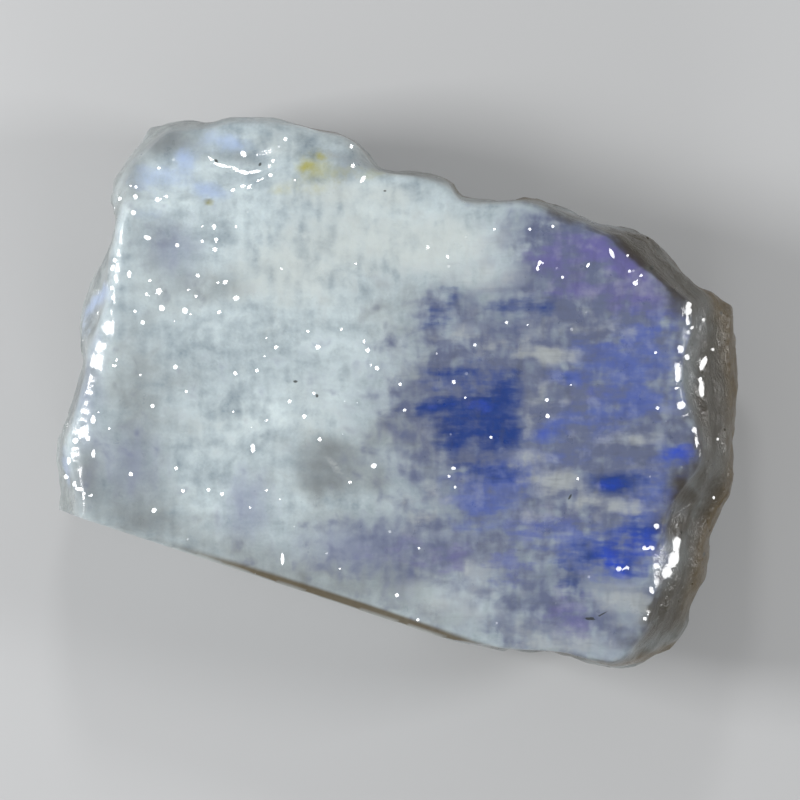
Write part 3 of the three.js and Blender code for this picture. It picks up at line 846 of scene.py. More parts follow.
    def is_clear(self, hollow: tuple[Vector, float], batch: list[tuple[Vector, float]]) -> bool:
        """Tells whether a hollow stays clear of those already in a batch.

        Args:
            hollow: Its centre and radius.
            batch: The others' centres and radii.

        Returns:
            Whether it does.
        """
        centre, radius = hollow
        return all((centre - other).length > FLAKES_APART * (radius + size) for other, size in batch)

    def ball(self, centre: Vector, radius: float, dice: random.Random) -> Piece:
        """Adds a slightly squashed and turned ball.

        Args:
            centre: Its centre.
            radius: Its radius.
            dice: What turns and squashes it.

        Returns:
            The ball.
        """
        turn = tuple(dice.uniform(0, math.tau) for _ in range(3))
        squash = tuple(dice.uniform(*play) for play in FLAKE_SQUASH)
        clear_selection()
        bpy.ops.mesh.primitive_ico_sphere_add(
            subdivisions=3, radius=radius, location=centre, rotation=turn, scale=squash
        )
        return bpy.context.active_object

    def strike_rim(self) -> None:
        """Strikes small flats off the large face's rim, where it was knocked left and right."""
        dice = random.Random(self.seed + 1)
        where = coordinates(self.piece.data)
        struck = [(side, flat) for side, flats in RIM_FLATS.items() for flat in flats]
        cubes = [self.flat_cube(where, side, flat, dice) for side, flat in struck]
        for batch in (cubes[::2], cubes[1::2]):
            self.subtract(batch)

    def flat_cube(self, where: np.ndarray, side: Side, flat: Flat, dice: random.Random) -> Piece:
        """Adds a cube whose lower face cuts one flat off the rim.

        Args:
            where: The stone's vertices.
            side: The side that the flat looks to.
            flat: The flat.
            dice: What varies the flat's slope a little.

        Returns:
            The cube.
        """
        slope = self.flat_tilt + dice.uniform(-self.tilt_play, self.tilt_play)
        bearing = side.value + dice.uniform(-self.bearing_play, self.bearing_play)
        way = looking(bearing, slope)
        outward = way @ UP
        spin = self.spin * math.sin(self.spin_rate * flat.v)
        wanted = np.array(from_streaks(flat.u, flat.v))
        near = where[np.hypot(*(where[:, :2] - wanted).T) < self.reach]
        crest = Vector(near[np.argmax(near @ np.array(outward))])
        clear_selection()
        bpy.ops.mesh.primitive_cube_add(
            size=flat.length,
            location=crest + outward * (flat.length / 2 - flat.depth),
            rotation=(way @ Matrix.Rotation(spin, 3, "Z")).to_euler(),
        )
        return bpy.context.active_object

    def scoop_lens(self) -> None:
        """Scoops the lens-shaped scar out of the upper left chip."""
        clear_selection()
        bpy.ops.mesh.primitive_ico_sphere_add(
            subdivisions=5,
            radius=1.0,
            location=(*from_streaks(LENS.u, LENS.v), self.thickness + LENS_RISE),
            rotation=(0, 0, STREAKS + math.radians(LENS.turn)),
            scale=(LENS.along, LENS.across, LENS_DEPTH),
        )
        self.subtract([bpy.context.active_object])

    def chipped(self, where: np.ndarray, share: float) -> np.ndarray:
        """Measures how much of the upper left chip is at each point, seen from above.

        Args:
            where: The points, in mm.
            share: How far the chip's soft edge is pushed out.

        Returns:
            A share from 0 to 1 for each point.
        """
        u, v = along_streaks(where)
        return np.clip(share * sum(dab.over(u, v) for dab in CHIP), 0.0, 1.0)

    def mark_regions(self) -> None:
        """Marks the large face, the chip, the rim between face and walls, and the walls."""
        where = coordinates(self.piece.data)
        facing = normals(self.piece.data)
        under = self.thickness - where[:, 2]
        level = soft_step(facing[:, 2], *UPWARD) * soft_step(-under, *FACE_LEVEL)
        base = soft_step(-facing[:, 2], *SQUARE_ON) * (where[:, 2] < NEAR_PLANE)
        sawn = soft_step(-facing[:, 1], *SQUARE_ON) * (where[:, 1] < self.sawn_y + NEAR_PLANE)
        chip = self.chipped(where, CHIP_WIDE) * (under < CHIP_DEPTH)
        walls = np.clip(1.0 - level - base - sawn, 0.0, 1.0)
        rim = walls * soft_step(-under, *RIM_LEVEL) * (1.0 - chip)
        self.mark(Region.LARGE_FACE, level * (1.0 - chip))
        self.mark(Region.CHIP, chip)
        self.mark(Region.WALLS, walls * (1.0 - CHIP_SPARED * chip) * (1.0 - RIM_SPARED * rim))
        self.mark(Region.RIM, rim)

    def mark(self, region: Region, weights: np.ndarray) -> None:
        """Writes a region's weights to its vertex group, in even steps.

        Args:
            region: The region.
            weights: How much each vertex belongs to it, from 0 to 1.
        """
        group = self.piece.vertex_groups.new(name=region.value)
        steps = np.rint(weights * WEIGHT_STEPS).astype(int)
        for step in range(1, WEIGHT_STEPS + 1):
            group.add(np.flatnonzero(steps == step).tolist(), step / WEIGHT_STEPS, "REPLACE")

    def smooth(self, region: Region) -> None:
        """Smooths a region's surface as often as it needs."""
        times = SMOOTHINGS[region]
        add_modifier(self.piece, "SMOOTH", factor=0.5, iterations=times, vertex_group=region.value)

    def press(self, relief: Relief) -> None:
        """Presses a relief into its region.

        Args:
            relief: The relief.
        """
        texture = bpy.data.textures.new(relief.name, relief.kind)
        for name, value in relief.settings.items():
            setattr(texture, name, value)
        clear_selection()
        bpy.ops.object.empty_add(type="PLAIN_AXES", rotation=(0, 0, relief.turn))
        guide = bpy.context.active_object
        guide.scale = relief.stretch
        bpy.context.view_layer.update()
        add_modifier(
            self.piece, "DISPLACE", texture=texture, texture_coords="OBJECT", texture_coords_object=guide,
            direction="NORMAL", strength=relief.depth, mid_level=relief.midlevel,
            vertex_group=relief.region.value,
        )
        bpy.data.objects.remove(guide)

    def work_surfaces(self) -> None:
        """Waves the large face and the chip, breaks the walls, and rounds the rim over them."""
        self.smooth(Region.LARGE_FACE)
        self.smooth(Region.CHIP)
        for relief in FACE_RELIEFS:
            self.press(relief)
        self.smooth(Region.WALLS)
        for relief in WALL_RELIEFS:
            self.press(relief)
        self.smooth(Region.RIM)

    def fill_box(self) -> None:
        """Stretches the worked piece back to the length and width of the frame's solid."""
        where = coordinates(self.piece.data)
        low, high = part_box(self.node)
        for axis in (0, 1):
            near, far = where[:, axis].min(), where[:, axis].max()
            factor = (high[axis] - low[axis]) * BENCH / (far - near)
            middle = (near + far) / 2
            shift = (high[axis] + low[axis]) * BENCH / 2 - middle
            reshape(self.piece, np.ones(len(where), bool), axis, factor, middle, shift)

    def true_up(self) -> None:
        """Brings the resting face and the sawn face back to true planes, and smooths the shading."""
        take(self.piece)
        bpy.ops.object.shade_smooth()
        for axis, plane in ((2, 0.0), (1, self.sawn_y)):
            near = coordinates(self.piece.data)[:, axis] < plane + TRUED
            reshape(self.piece, near, axis, 0.0, plane, 0.0)

    def write(self, name: str, values: np.ndarray) -> None:
        """Writes one value or vector for each vertex to an attribute.

        Args:
            name: The attribute's name.
            values: The values, or rows x, y, z.
        """
        kind, key = ("FLOAT", "value") if values.ndim == 1 else ("FLOAT_VECTOR", "vector")
        attribute = self.piece.data.attributes.new(name, kind, "POINT")
        attribute.data.foreach_set(key, values.astype(np.float32).ravel())

    def dab_pattern(self) -> None:
        """Writes each kind of inner pattern to its attribute."""
        where = coordinates(self.piece.data) * BENCH
        u, v = along_streaks(where)
        under = self.thickness - where[:, 2]
        sway = self.sway * np.clip(under, 0.0, None)
        swayed_u = u + sway * np.sin(SWAY_ALONG[0] * where[:, 2] + SWAY_ALONG[1] * v)
        swayed_v = v + sway * np.cos(SWAY_ACROSS[0] * where[:, 2] + SWAY_ACROSS[1] * u)
        for kind, dabs in PATTERN.items():
            clear = np.ones(len(where))
            for dab in dabs:
                clear *= 1.0 - np.clip(dab.over(swayed_u, swayed_v), 0.0, 1.0)
            start, stop = FADES.get(kind, (self.thickness, 2 * self.thickness))
            self.write(kind.value, (1.0 - clear) * soft_step(-under, -stop, -start))

    def mark_sides(self) -> None:
        """Writes where the walls, the sawn face and the thin edges are."""
        where = coordinates(self.piece.data) * BENCH
        under = self.thickness - where[:, 2]
        cut = where[:, 1] - self.sawn_y
        chip = self.chipped(where, CHIP_TIGHT) * soft_step(-under, *CHIP_LEVEL)
        brink = soft_step(-cut, *BRINK_CUT) * soft_step(-under, *BRINK_LEVEL)
        thin = self.spread(1.0 - soft_step(self.depths() * BENCH, *THIN_STONE))
        sawn = soft_step(-cut, *SAWN_CUT) * soft_step(-normals(self.piece.data)[:, 1], *SAWN_FACING)
        self.write("wall_and_shade", soft_step(under, *WALL_LEVEL) * (1.0 - chip))
        self.write("thin", np.maximum(thin, brink))
        self.write("sawn", sawn)

    def spread(self, values: np.ndarray) -> np.ndarray:
        """Softens values over the surface, so that they have no hard edges.

        Args:
            values: One value for each vertex.

        Returns:
            The softened values.
        """
        ends = edge_ends(self.piece.data)
        near = np.bincount(ends.ravel(), minlength=len(values))
        for _ in range(self.softening):
            pairs = values[ends]
            total = np.bincount(ends[:, 0], pairs[:, 1], len(values))
            total += np.bincount(ends[:, 1], pairs[:, 0], len(values))
            values = (values + total / near) / 2
        return values

    def depths(self) -> np.ndarray:
        """Measures how much stone lies straight under each vertex, or over it on an underside.

        Returns:
            The depths, in metres.
        """
        tree = BVHTree.FromObject(self.piece, bpy.context.evaluated_depsgraph_get())
        skin = 2e-5  # how far under the surface each look starts, in metres
        found = []
        for place, way in zip(coordinates(self.piece.data), normals(self.piece.data)):
            start = Vector(place) - Vector(way) * skin
            down = Vector((0, 0, -1.0 if way[2] >= 0 else 1.0))
            found.append(tree.ray_cast(start, down)[3] or 0.0)
        return np.array(found)

    def place_spots(self) -> None:
        """Writes where the cleavage flats and the dark grains are, and the way that the flats look."""
        where = coordinates(self.piece.data) * BENCH
        high = where[:, 2] > SPOTS_ABOVE * self.thickness
        shown = high & (normals(self.piece.data)[:, 2] > SPOTS_FACING)
        flecks = [(spot, cleavage.way()) for cleavage, flats in FLECKS.items() for spot in flats]
        self.write("look", self.write_spots("fleck", shown, flecks))
        self.write_spots("speck", shown, [(spot, UP) for spot in SPECKS])

    def write_spots(
        self, name: str, shown: np.ndarray, spots: list[tuple[Spot, Vector]]
    ) -> np.ndarray:
        """Writes each vertex's place in its nearest spot, with its gap to the spot, in mm, as z.

        Where two vertices of an edge belong to two spots, nothing shows between the spots.

        Args:
            name: The attribute's name.
            shown: Which vertices may show spots.
            spots: The spots, each with the way that it looks.

        Returns:
            The way that each vertex's nearest spot looks, as rows x, y, z.
        """
        u, v = along_streaks(coordinates(self.piece.data) * BENCH)
        owner = np.zeros(len(u), int)
        local = np.full((len(u), 3), np.inf)
        for number, (spot, _) in enumerate(spots):
            place = np.column_stack(spot.within(u, v))
            closer = place[:, 2] < local[:, 2]
            local[closer] = place[closer]
            owner[closer] = number
        ends = edge_ends(self.piece.data)
        between = np.unique(ends[owner[ends[:, 0]] != owner[ends[:, 1]]])
        between = between[local[between, 2] > 0.0]
        local[between, 2] = np.maximum(local[between, 2], CLEAR_GAP)
        local[~shown, 2] = FAR_GAP
        self.write(name, local)
        return np.array([way for _, way in spots])[owner]


# ---- The finish -------------------------------------------------------------------------------------


def screen(red: int, green: int, blue: int) -> Colour:
    """Returns a colour given as a screen shows it, from 0 to 255, in linear values."""
    shares = [c / 255 for c in (red, green, blue)]
    return tuple(s / 12.92 if s <= 0.04045 else ((s + 0.055) / 1.055) ** 2.4 for s in shares)


@dataclass(frozen=True)
class Noise:
    """A soft noise in the stone, from 0 to 1.

    Attributes:
        scale: How many swings it has in a mm.
        stretch: How much faster it swings along each axis.
        detail: How many finer noises are laid over it.
        rough: How strong the finer ones are.
        warp: How far it is bent out of shape.
        level: Whether it lies along the sawn edge, and not along the streaks.
    """

    scale: float
    stretch: Point | None = None
    detail: float = 3.0
    rough: float = 0.5
    warp: float = 0.0
    level: bool = False


class Vein(Enum):
    """The noises that break up the finish."""

    CLOUDS = Noise(0.8, (0.75, 1.0, 1.0), 4.0, 0.6, 0.6)
    MOTTLE = Noise(2.6, warp=0.3)
    ALONG = Noise(1.0, (1.4, 3.6, 2.0), 1.0)
    ACROSS = Noise(1.0, (4.6, 1.2, 1.5), 1.0)
    DUST = Noise(16.0, detail=1.0)
    BARS = Noise(1.0, (1.3, 4.4, 2.0), 3.0, 0.55)
    POSTS = Noise(1.0, (4.2, 1.4, 2.0), 2.0)
    BRUSH = Noise(1.0, (2.0, 9.0, 4.0), 2.0)
    PATCHES = Noise(2.8)
    WALL_MOTTLE = Noise(2.6, detail=4.0, rough=0.65)
    DRIFT = Noise(1.0, (0.8, 0.8, 1.3), 3.0, 0.6, 0.6)
    BANDS = Noise(1.0, (0.35, 1.0, 2.4), 4.0, 0.6, 0.4, level=True)
    BLOTCHES = Noise(1.3, None, 4.0, 0.6, 0.5, level=True)
    GLOSS = Noise(2.2, rough=0.6)
    DIMPLES = Noise(3.2, rough=0.55)
    GRIT = Noise(13.0, rough=0.6)
    HACKLE = Noise(1.0, (5.0, 5.0, 14.0), 4.0, 0.65, 0.5, level=True)
    SAW_GRAIN = Noise(17.0, rough=0.7, level=True)
    RAGGED = Noise(9.0, detail=2.0)


Weights = tuple[tuple[Vein, float], ...]  # noises, each with how far it moves a value


@dataclass(frozen=True)
class Layer:
    """A colour laid over the stone where one kind of inner pattern is.

    Attributes:
        kind: The kind.
        tint: The colour.
        low: How strong the pattern is where the colour starts to show.
        high: How strong it is where the colour is full.
        top: How much the full colour hides.
        breaks: The noises that break up the pattern's edge.
        gated: Whether they act only where the pattern is.
    """

    kind: Inside
    tint: Colour
    low: float
    high: float
    top: float
    breaks: Weights
    gated: bool = True


class NodeBoard:
    """A material's nodes, with one short call for each kind of step."""

    def __init__(self, name: str) -> None:
        """Starts a material with a surface shader alone.

        Args:
            name: The material's name.
        """
        self.material = bpy.data.materials.new(name)
        self.material.use_nodes = True
        self.tree = self.material.node_tree
        self.tree.nodes.clear()
        self.shader = self.node("BsdfPrincipled")
        self.node("OutputMaterial", {"Surface": self.shader.outputs["BSDF"]})

    def node(
        self, kind: str, inputs: dict[str | int, object] | None = None, **settings: object
    ) -> bpy.types.Node:
        """Adds a node.

        Args:
            kind: The node's kind.
            inputs: What feeds its sockets, by their names or numbers.
            settings: Its properties.

        Returns:
            The node.
        """
        made = self.tree.nodes.new(f"ShaderNode{kind}")
        for name, value in settings.items():
            setattr(made, name, value)
        self.feed(made, inputs or {})
        return made

    def feed(self, node: bpy.types.Node, inputs: dict[str | int, object]) -> None:
        """Links a node's sockets to outputs, or sets them to plain values.

        Args:
            node: The node.
            inputs: What feeds its sockets, by their names or numbers.
        """
        for name, source in inputs.items():
            socket = node.inputs[name]
            if isinstance(source, Socket):
                self.tree.links.new(source, socket)
            elif socket.type == "RGBA":
                socket.default_value = (*source, 1.0)
            else:
                socket.default_value = source

    def math(self, operation: str, *sources: object, clamp: bool = False) -> Socket:
        """Returns the result of a Math node."""
        return self.node("Math", dict(enumerate(sources)), operation=operation, use_clamp=clamp).outputs[0]

    def product(self, *sources: object) -> Socket:
        """Multiplies values.

        Args:
            sources: The values.

        Returns:
            Their product.
        """
        result, *others = sources
        for other in others:
            result = self.math("MULTIPLY", result, other)
        return result

    def vector(self, operation: str, *sources: object) -> Socket:
        """Returns the vector or the value that a Vector Math node gives."""
        made = self.node("VectorMath", dict(enumerate(sources)), operation=operation)
        return made.outputs["Value" if operation == "LENGTH" else "Vector"]

    def mapped(self, vector: Socket, scale: Point = (1.0, 1.0, 1.0), turn: float = 0.0) -> Socket:
        """Returns a vector turned about +Z and scaled."""
        inputs = {"Vector": vector, "Rotation": (0.0, 0.0, turn), "Scale": scale}
        return self.node("Mapping", inputs).outputs[0]

    def step(self, value: object, low: float, high: float, top: float = 1.0) -> Socket:
        """Returns a smooth rise from 0 at low to top at high."""
        ends = {"Value": value, "From Min": low, "From Max": high, "To Max": top}
        return self.node("MapRange", ends, interpolation_type="SMOOTHSTEP").outputs[0]

    def mix(self, share: object, under: object, over: object) -> Socket:
        """Returns one colour laid over another by a share."""
        return self.node("Mix", {0: share, 6: under, 7: over}, data_type="RGBA").outputs[2]

    def turned_by(self, share: Socket, under: Socket, over: Socket) -> Socket:
        """Returns one direction laid over another by a share."""
        made = self.node("Mix", {0: share, 4: under, 5: over}, data_type="VECTOR")
        return self.vector("NORMALIZE", made.outputs[1])

    def carried(self, name: str, output: str = "Fac") -> Socket:
        """Returns a value, or as output Vector a vector, that the piece carries."""
        return self.node("Attribute", attribute_name=name).outputs[output]


GATE = (0.02, 0.2)  # how strong a pattern is where noises start to break it up, and where they do so fully
SPOT_EDGE = 0.9  # where a spot's edge shows, as a share of its size
SPOT_GAP = (0.05, 0.035)  # how far outside a spot nothing of it shows, and how far its soft edge may, in mm


class StoneBoard(NodeBoard):
    """The nodes of the stone's finish, which read places in the stone.

    Attributes:
        stone: Places in the stone, in mm.
        grain: The same, along the streaks.
    """

    def __init__(self, name: str) -> None:
        """Starts the material and measures the places in the stone.

        Args:
            name: The material's name.
        """
        super().__init__(name)
        self.stone = self.mapped(self.node("TexCoord").outputs["Object"], (BENCH, BENCH, BENCH))
        self.grain = self.mapped(self.stone, turn=-STREAKS)
        self.grown: dict[Vein, Socket] = {}

    def vein(self, vein: Vein) -> Socket:
        """Gives a noise, which is made once.

        Args:
            vein: The noise.

        Returns:
            Its value, from 0 to 1.
        """
        if vein not in self.grown:
            noise = vein.value
            place = self.stone if noise.level else self.grain
            if noise.stretch:
                place = self.mapped(place, noise.stretch)
            inputs = {
                "Vector": place, "Scale": noise.scale, "Detail": noise.detail,
                "Roughness": noise.rough, "Distortion": noise.warp,
            }
            self.grown[vein] = self.node("TexNoise", inputs).outputs["Fac"]
        return self.grown[vein]

    def shifted(self, value: object, weights: Weights) -> Socket:
        """Moves a value up and down by noises.

        Args:
            value: The value.
            weights: Each noise and how far half of its swing moves the value.

        Returns:
            The moved value.
        """
        for vein, weight in weights:
            swing = self.math("SUBTRACT", self.vein(vein), 0.5)
            value = self.math("MULTIPLY_ADD", swing, 2 * weight, value)
        return value

    def tone(self, usual: float, swings: Weights) -> Socket:
        """Returns a tone that noises change, from 0 to 1."""
        return self.math("MULTIPLY", self.shifted(usual, swings), 1.0, clamp=True)

    def lay(self, colour: Socket, *layers: Layer) -> Socket:
        """Lays layers over a colour, one after another.

        Args:
            colour: The colour.
            layers: The layers.

        Returns:
            The colour with the layers over it.
        """
        for layer in layers:
            mask = self.carried(layer.kind.value)
            share = self.shifted(mask, layer.breaks)
            if layer.gated:
                share = self.product(share, self.step(mask, *GATE))
            colour = self.mix(self.step(share, layer.low, layer.high, layer.top), colour, layer.tint)
        return colour

    def spots(self, name: str, weight: float, soft: float) -> Socket:
        """Shows the small spots of a kind.

        Args:
            name: The attribute that carries the places in the nearest spot.
            weight: How ragged the edges are, as a share of the spot's size.
            soft: Half the width of the edges, as a share of the spot's size.

        Returns:
            1 in the spots and 0 outside them.
        """
        local = self.carried(name, "Vector")
        gap = self.node("SeparateXYZ", {0: local}).outputs[2]
        reach = self.vector("LENGTH", self.vector("MULTIPLY", local, (1.0, 1.0, 0.0)))
        ragged = self.shifted(reach, ((Vein.RAGGED, weight),))
        return self.product(self.step(ragged, SPOT_EDGE + soft, SPOT_EDGE - soft), self.step(gap, *SPOT_GAP))


# How noises break up the edges of what lies in the stone.
GREY_BREAKS = ((Vein.MOTTLE, 0.35), (Vein.CLOUDS, 0.2))
HAZE_BREAKS = ((Vein.MOTTLE, 0.4), (Vein.ACROSS, 0.3))
CREAM_BREAKS = ((Vein.MOTTLE, 0.5), (Vein.ACROSS, 0.3))
CLEAR_BREAKS = ((Vein.ALONG, 0.35), (Vein.ACROSS, 0.35), (Vein.MOTTLE, 0.6), (Vein.DUST, 0.05))
PAINTED_SHEEN_BREAKS = ((Vein.BARS, 0.65), (Vein.POSTS, 0.35), (Vein.BRUSH, 0.15), (Vein.PATCHES, 0.6))
VEIL_BREAKS = ((Vein.BARS, 0.5), (Vein.POSTS, 0.4), (Vein.PATCHES, 0.4))
WALL_BREAKS = ((Vein.WALL_MOTTLE, 0.3),)
BROWN_BREAKS = ((Vein.WALL_MOTTLE, 0.3), (Vein.DRIFT, 0.5))

# Soft steps: where a colour starts to show, where it is full and, where there is a third value, how much it
# then hides.
LIGHT_PATCHES = (0.48, 0.78, 0.4)
OUT_OF_HEART = (1.2, 0.2)
DARK_GRAIN = ((Vein.POSTS, (0.5, 0.8, 0.35)), (Vein.BRUSH, (0.52, 0.78, 0.2)))
PALE_DRIFT = (0.38, 0.62)
WALL_SHOWS = (0.1, 1.1, 0.8)
BROWN_STARTS = (0.0, 0.2)
BROWN_SHOWS = (0.0, 1.05, 0.92)
AMBER_SHOWS = (0.05, 0.6, 0.85)
SPECK_HIDES = 0.85
CUT_HIDES = 0.85

# The milk's and the saw cut's usual tones, from 0 to 1, and how noises change them.
MILK_TONE = 0.62
MILK_SWINGS = (
    (Vein.CLOUDS, 0.75), (Vein.MOTTLE, 0.42), (Vein.ALONG, 0.26), (Vein.ACROSS, 0.28), (Vein.DUST, 0.12),
)
CUT_TONE = 0.5
CUT_SWINGS = ((Vein.BANDS, 0.9), (Vein.BLOTCHES, 1.1))

# How deep the fine relief is, in mm, and what the saw marks are made of.
DIMPLE_DEPTH = 0.013
GRIT_DEPTH = 0.0045
HACKLE_DEPTH = 0.05
SAW_DEPTH = 0.02
BLADE_HUB = (4.0, 0.0, 16.0)
ARC_SHARE = 0.6
DULL_SHARE = 0.7

# The gloss under the coat: the least roughness, how much it varies, and how much the saw cut adds.
GLOSS = 0.2
GLOSS_PLAY = 0.22
CUT_DULLNESS = 0.3

SPARK_CELLS = 3.0  # how many cells that may hold a stray spark there are along a mm
SPARKLESS = (0.68, 0.7)  # the share of the cells that hold none, as a soft step
SPARK_SIZE = 0.06  # the least size of a spark, in cells
SPARK_PLAY = 0.05  # how much larger it may be
SPARK_EDGE = (1.2, 0.9)  # where a spark ends and where it is full, as a share of its size
SPARK_STRAY = (0.2, 0.2, 0.0)  # how far the sparks look out of line


@dataclass(frozen=True)
class MilkyFeldspar:
    """The moonstone's finish: milky, streaked and cloudy inside, with a wet-looking gloss.

    Attributes:
        milk: The thickest milk.
        cloud: The thinnest milk.
        grey: Grey spots in the milk, and painted shade on the left rim.
        clear: Where the stone is clearer.
        blue: The broad painted sheen.
        navy: The painted sheen's dark heart.
        royal: The purest painted sheen.
        violet: The painted sheen's violet part.
        haze: A bluish haze in the milk.
        veil: Milky veils over the sheen.
        cream: Thick milk that hides the depth.
        smoke: Dark grain in the clearer part.
        painted_gleam: Painted reflections: pale blue gleams in the chip and on the left rim.
        brown_and_shade: The smoky walls on the right, partly their own colour and partly painted shade.
        amber_and_shade: Thin edges, partly their own tint and partly painted shade along the outline.
        ochre: Rusty stains.
        speck: Dark grains.
        wall_and_shade: The walls where they are dark: painted shade, darker than the large face.
        pale_wall_and_shade: The walls where they are pale: painted shade too, darker than the large face.
        cut: The sawn face where it is dark.
        pale_cut: The sawn face where it is pale.
    """

    milk: Colour = screen(212, 225, 228)
    cloud: Colour = screen(120, 135, 146)
    grey: Colour = screen(116, 121, 123)
    clear: Colour = screen(100, 109, 138)
    blue: Colour = screen(84, 103, 172)
    navy: Colour = screen(8, 54, 130)
    royal: Colour = screen(14, 70, 202)
    violet: Colour = screen(106, 102, 162)
    haze: Colour = screen(132, 140, 166)
    veil: Colour = screen(172, 178, 180)
    cream: Colour = screen(206, 214, 212)
    smoke: Colour = screen(74, 80, 92)
    painted_gleam: Colour = screen(176, 196, 230)
    brown_and_shade: Colour = screen(52, 42, 16)
    amber_and_shade: Colour = screen(80, 62, 12)
    ochre: Colour = screen(172, 166, 62)
    speck: Colour = screen(40, 42, 36)
    wall_and_shade: Colour = screen(116, 121, 119)
    pale_wall_and_shade: Colour = screen(160, 166, 166)
    cut: Colour = screen(150, 159, 163)
    pale_cut: Colour = screen(196, 203, 204)

    def material(self) -> bpy.types.Material:
        """Builds the finish.

        Returns:
            Its material.
        """
        board = StoneBoard("milky feldspar")
        normal = self.flats(board, self.relief(board))
        board.shader.subsurface_method = "RANDOM_WALK"
        board.feed(board.shader, {
            "Base Color": self.colour(board),
            "Roughness": self.roughness(board),
            "IOR": 1.52,
            "Normal": normal,
            "Subsurface Weight": 0.45,
            "Subsurface Radius": (1.0, 0.95, 0.85),
            "Subsurface Scale": 0.00028,
            "Coat Weight": 0.7,
            "Coat Roughness": 0.05,
            "Coat IOR": 1.5,
            "Coat Normal": normal,
        })
        return board.material

    def colour(self, board: StoneBoard) -> Socket:
        """Colours the body: the milk with what lies in it, then the walls, the saw cut and the grains.

        Args:
            board: The material's nodes.

        Returns:
            The colour.
        """
        colour = self.sheen(board, self.milky_body(board))
        colour = self.saw_cut(board, self.walls(board, colour))
        specks = board.spots("speck", weight=0.4, soft=0.35)
        return board.mix(board.product(specks, SPECK_HIDES), colour, self.speck)

    def milky_body(self, board: StoneBoard) -> Socket:
        """Colours the milk, with its clouds, streaks, grey spots and clear zones.

        Args:
            board: The material's nodes.

        Returns:
            The colour.
        """
        milk = board.mix(board.tone(MILK_TONE, MILK_SWINGS), self.cloud, self.milk)
        return board.lay(
            milk,
            Layer(Inside.GREY, self.grey, 0.05, 1.0, 0.85, GREY_BREAKS),
            Layer(Inside.HAZE, self.haze, 0.05, 1.1, 0.75, HAZE_BREAKS),
            Layer(Inside.CLEAR, self.clear, 0.1, 1.0, 1.0, CLEAR_BREAKS, gated=False),
            Layer(Inside.CREAM, self.cream, 0.1, 1.1, 0.8, CREAM_BREAKS),
        )

    def sheen(self, board: StoneBoard, colour: Socket) -> Socket:
        """Lays the painted sheen's violet and blues over a colour, then the veils, and its dark and light
        grain.

        Args:
            board: The material's nodes.
            colour: The colour under the sheen.

        Returns:
            The colour with the sheen.
        """
        # painted sheen: the adularescence, a reflection that shows only from some angles, painted into the
        # colour
        colour = board.lay(
            colour,
            Layer(Inside.VIOLET, self.violet, 0.08, 1.0, 0.95, PAINTED_SHEEN_BREAKS),
            Layer(Inside.BLUE, self.blue, 0.08, 0.9, 0.95, PAINTED_SHEEN_BREAKS),
            Layer(Inside.NAVY, self.navy, 0.12, 1.0, 1.0, PAINTED_SHEEN_BREAKS),
            Layer(Inside.ROYAL, self.royal, 0.1, 1.15, 1.0, PAINTED_SHEEN_BREAKS),
            Layer(Inside.PALE, self.veil, 0.12, 0.9, 0.9, VEIL_BREAKS),
        )
        clear = board.carried(Inside.CLEAR.value)
        out_of_heart = board.step(board.carried(Inside.NAVY.value), *OUT_OF_HEART)
        lights = board.step(board.vein(Vein.PATCHES), *LIGHT_PATCHES)
        colour = board.mix(board.product(lights, clear, out_of_heart), colour, self.veil)
        for vein, shows in DARK_GRAIN:
            dark = board.product(board.step(board.vein(vein), *shows), clear)
            colour = board.mix(dark, colour, self.smoke)
        return colour

    def walls(self, board: StoneBoard, colour: Socket) -> Socket:
        """Lays the walls' greys and browns, painted gleams, the thin edges' tint and stains over a colour.

        The walls' greys are painted shade, darker than the large face; the browns and the edges' tint are
        partly painted shade.

        Args:
            board: The material's nodes.
            colour: The colour inside the stone.

        Returns:
            The colour with the walls.
        """
        wall_and_shade = board.carried("wall_and_shade")
        # painted shade: the walls are laid darker than the large face, in greys that drift paler in places
        drift = board.shifted(board.vein(Vein.DRIFT), WALL_BREAKS)
        tint = board.mix(board.step(drift, *PALE_DRIFT), self.wall_and_shade, self.pale_wall_and_shade)
        colour = board.mix(board.step(board.shifted(wall_and_shade, WALL_BREAKS), *WALL_SHOWS), colour, tint)
        # painted reflections: the pale blue gleams
        painted_gleam = Layer(Inside.GLEAM, self.painted_gleam, 0.1, 1.1, 0.75, ((Vein.WALL_MOTTLE, 0.6),))
        colour = board.lay(colour, painted_gleam)
        # the smoky walls on the right: partly the stone's own colour, partly painted shade
        brown_and_shade = board.product(board.carried(Inside.BROWN.value), board.step(wall_and_shade, *BROWN_STARTS))
        brown_and_shade = board.math("MAXIMUM", brown_and_shade, board.carried(Inside.TEA.value))
        brown_and_shade = board.step(board.shifted(brown_and_shade, BROWN_BREAKS), *BROWN_SHOWS)
        colour = board.mix(brown_and_shade, colour, self.brown_and_shade)
        # thin edges: partly the stone's own tint, partly painted shade along the outline
        edge = board.product(board.carried("thin"), board.carried(Inside.AMBER.value))
        colour = board.mix(board.step(edge, *AMBER_SHOWS), colour, self.amber_and_shade)
        ochre = Layer(Inside.OCHRE, self.ochre, 0.06, 1.0, 0.85, ((Vein.WALL_MOTTLE, 0.5),))
        return board.lay(colour, ochre)

    def saw_cut(self, board: StoneBoard, colour: Socket) -> Socket:
        """Lays the sawn face's colour over another: milky in thin level bands.

        Args:
            board: The material's nodes.
            colour: The colour round the face.

        Returns:
            The colour with the sawn face.
        """
        milky = board.mix(board.tone(CUT_TONE, CUT_SWINGS), self.cut, self.pale_cut)
        return board.mix(board.product(board.carried("sawn"), CUT_HIDES), colour, milky)

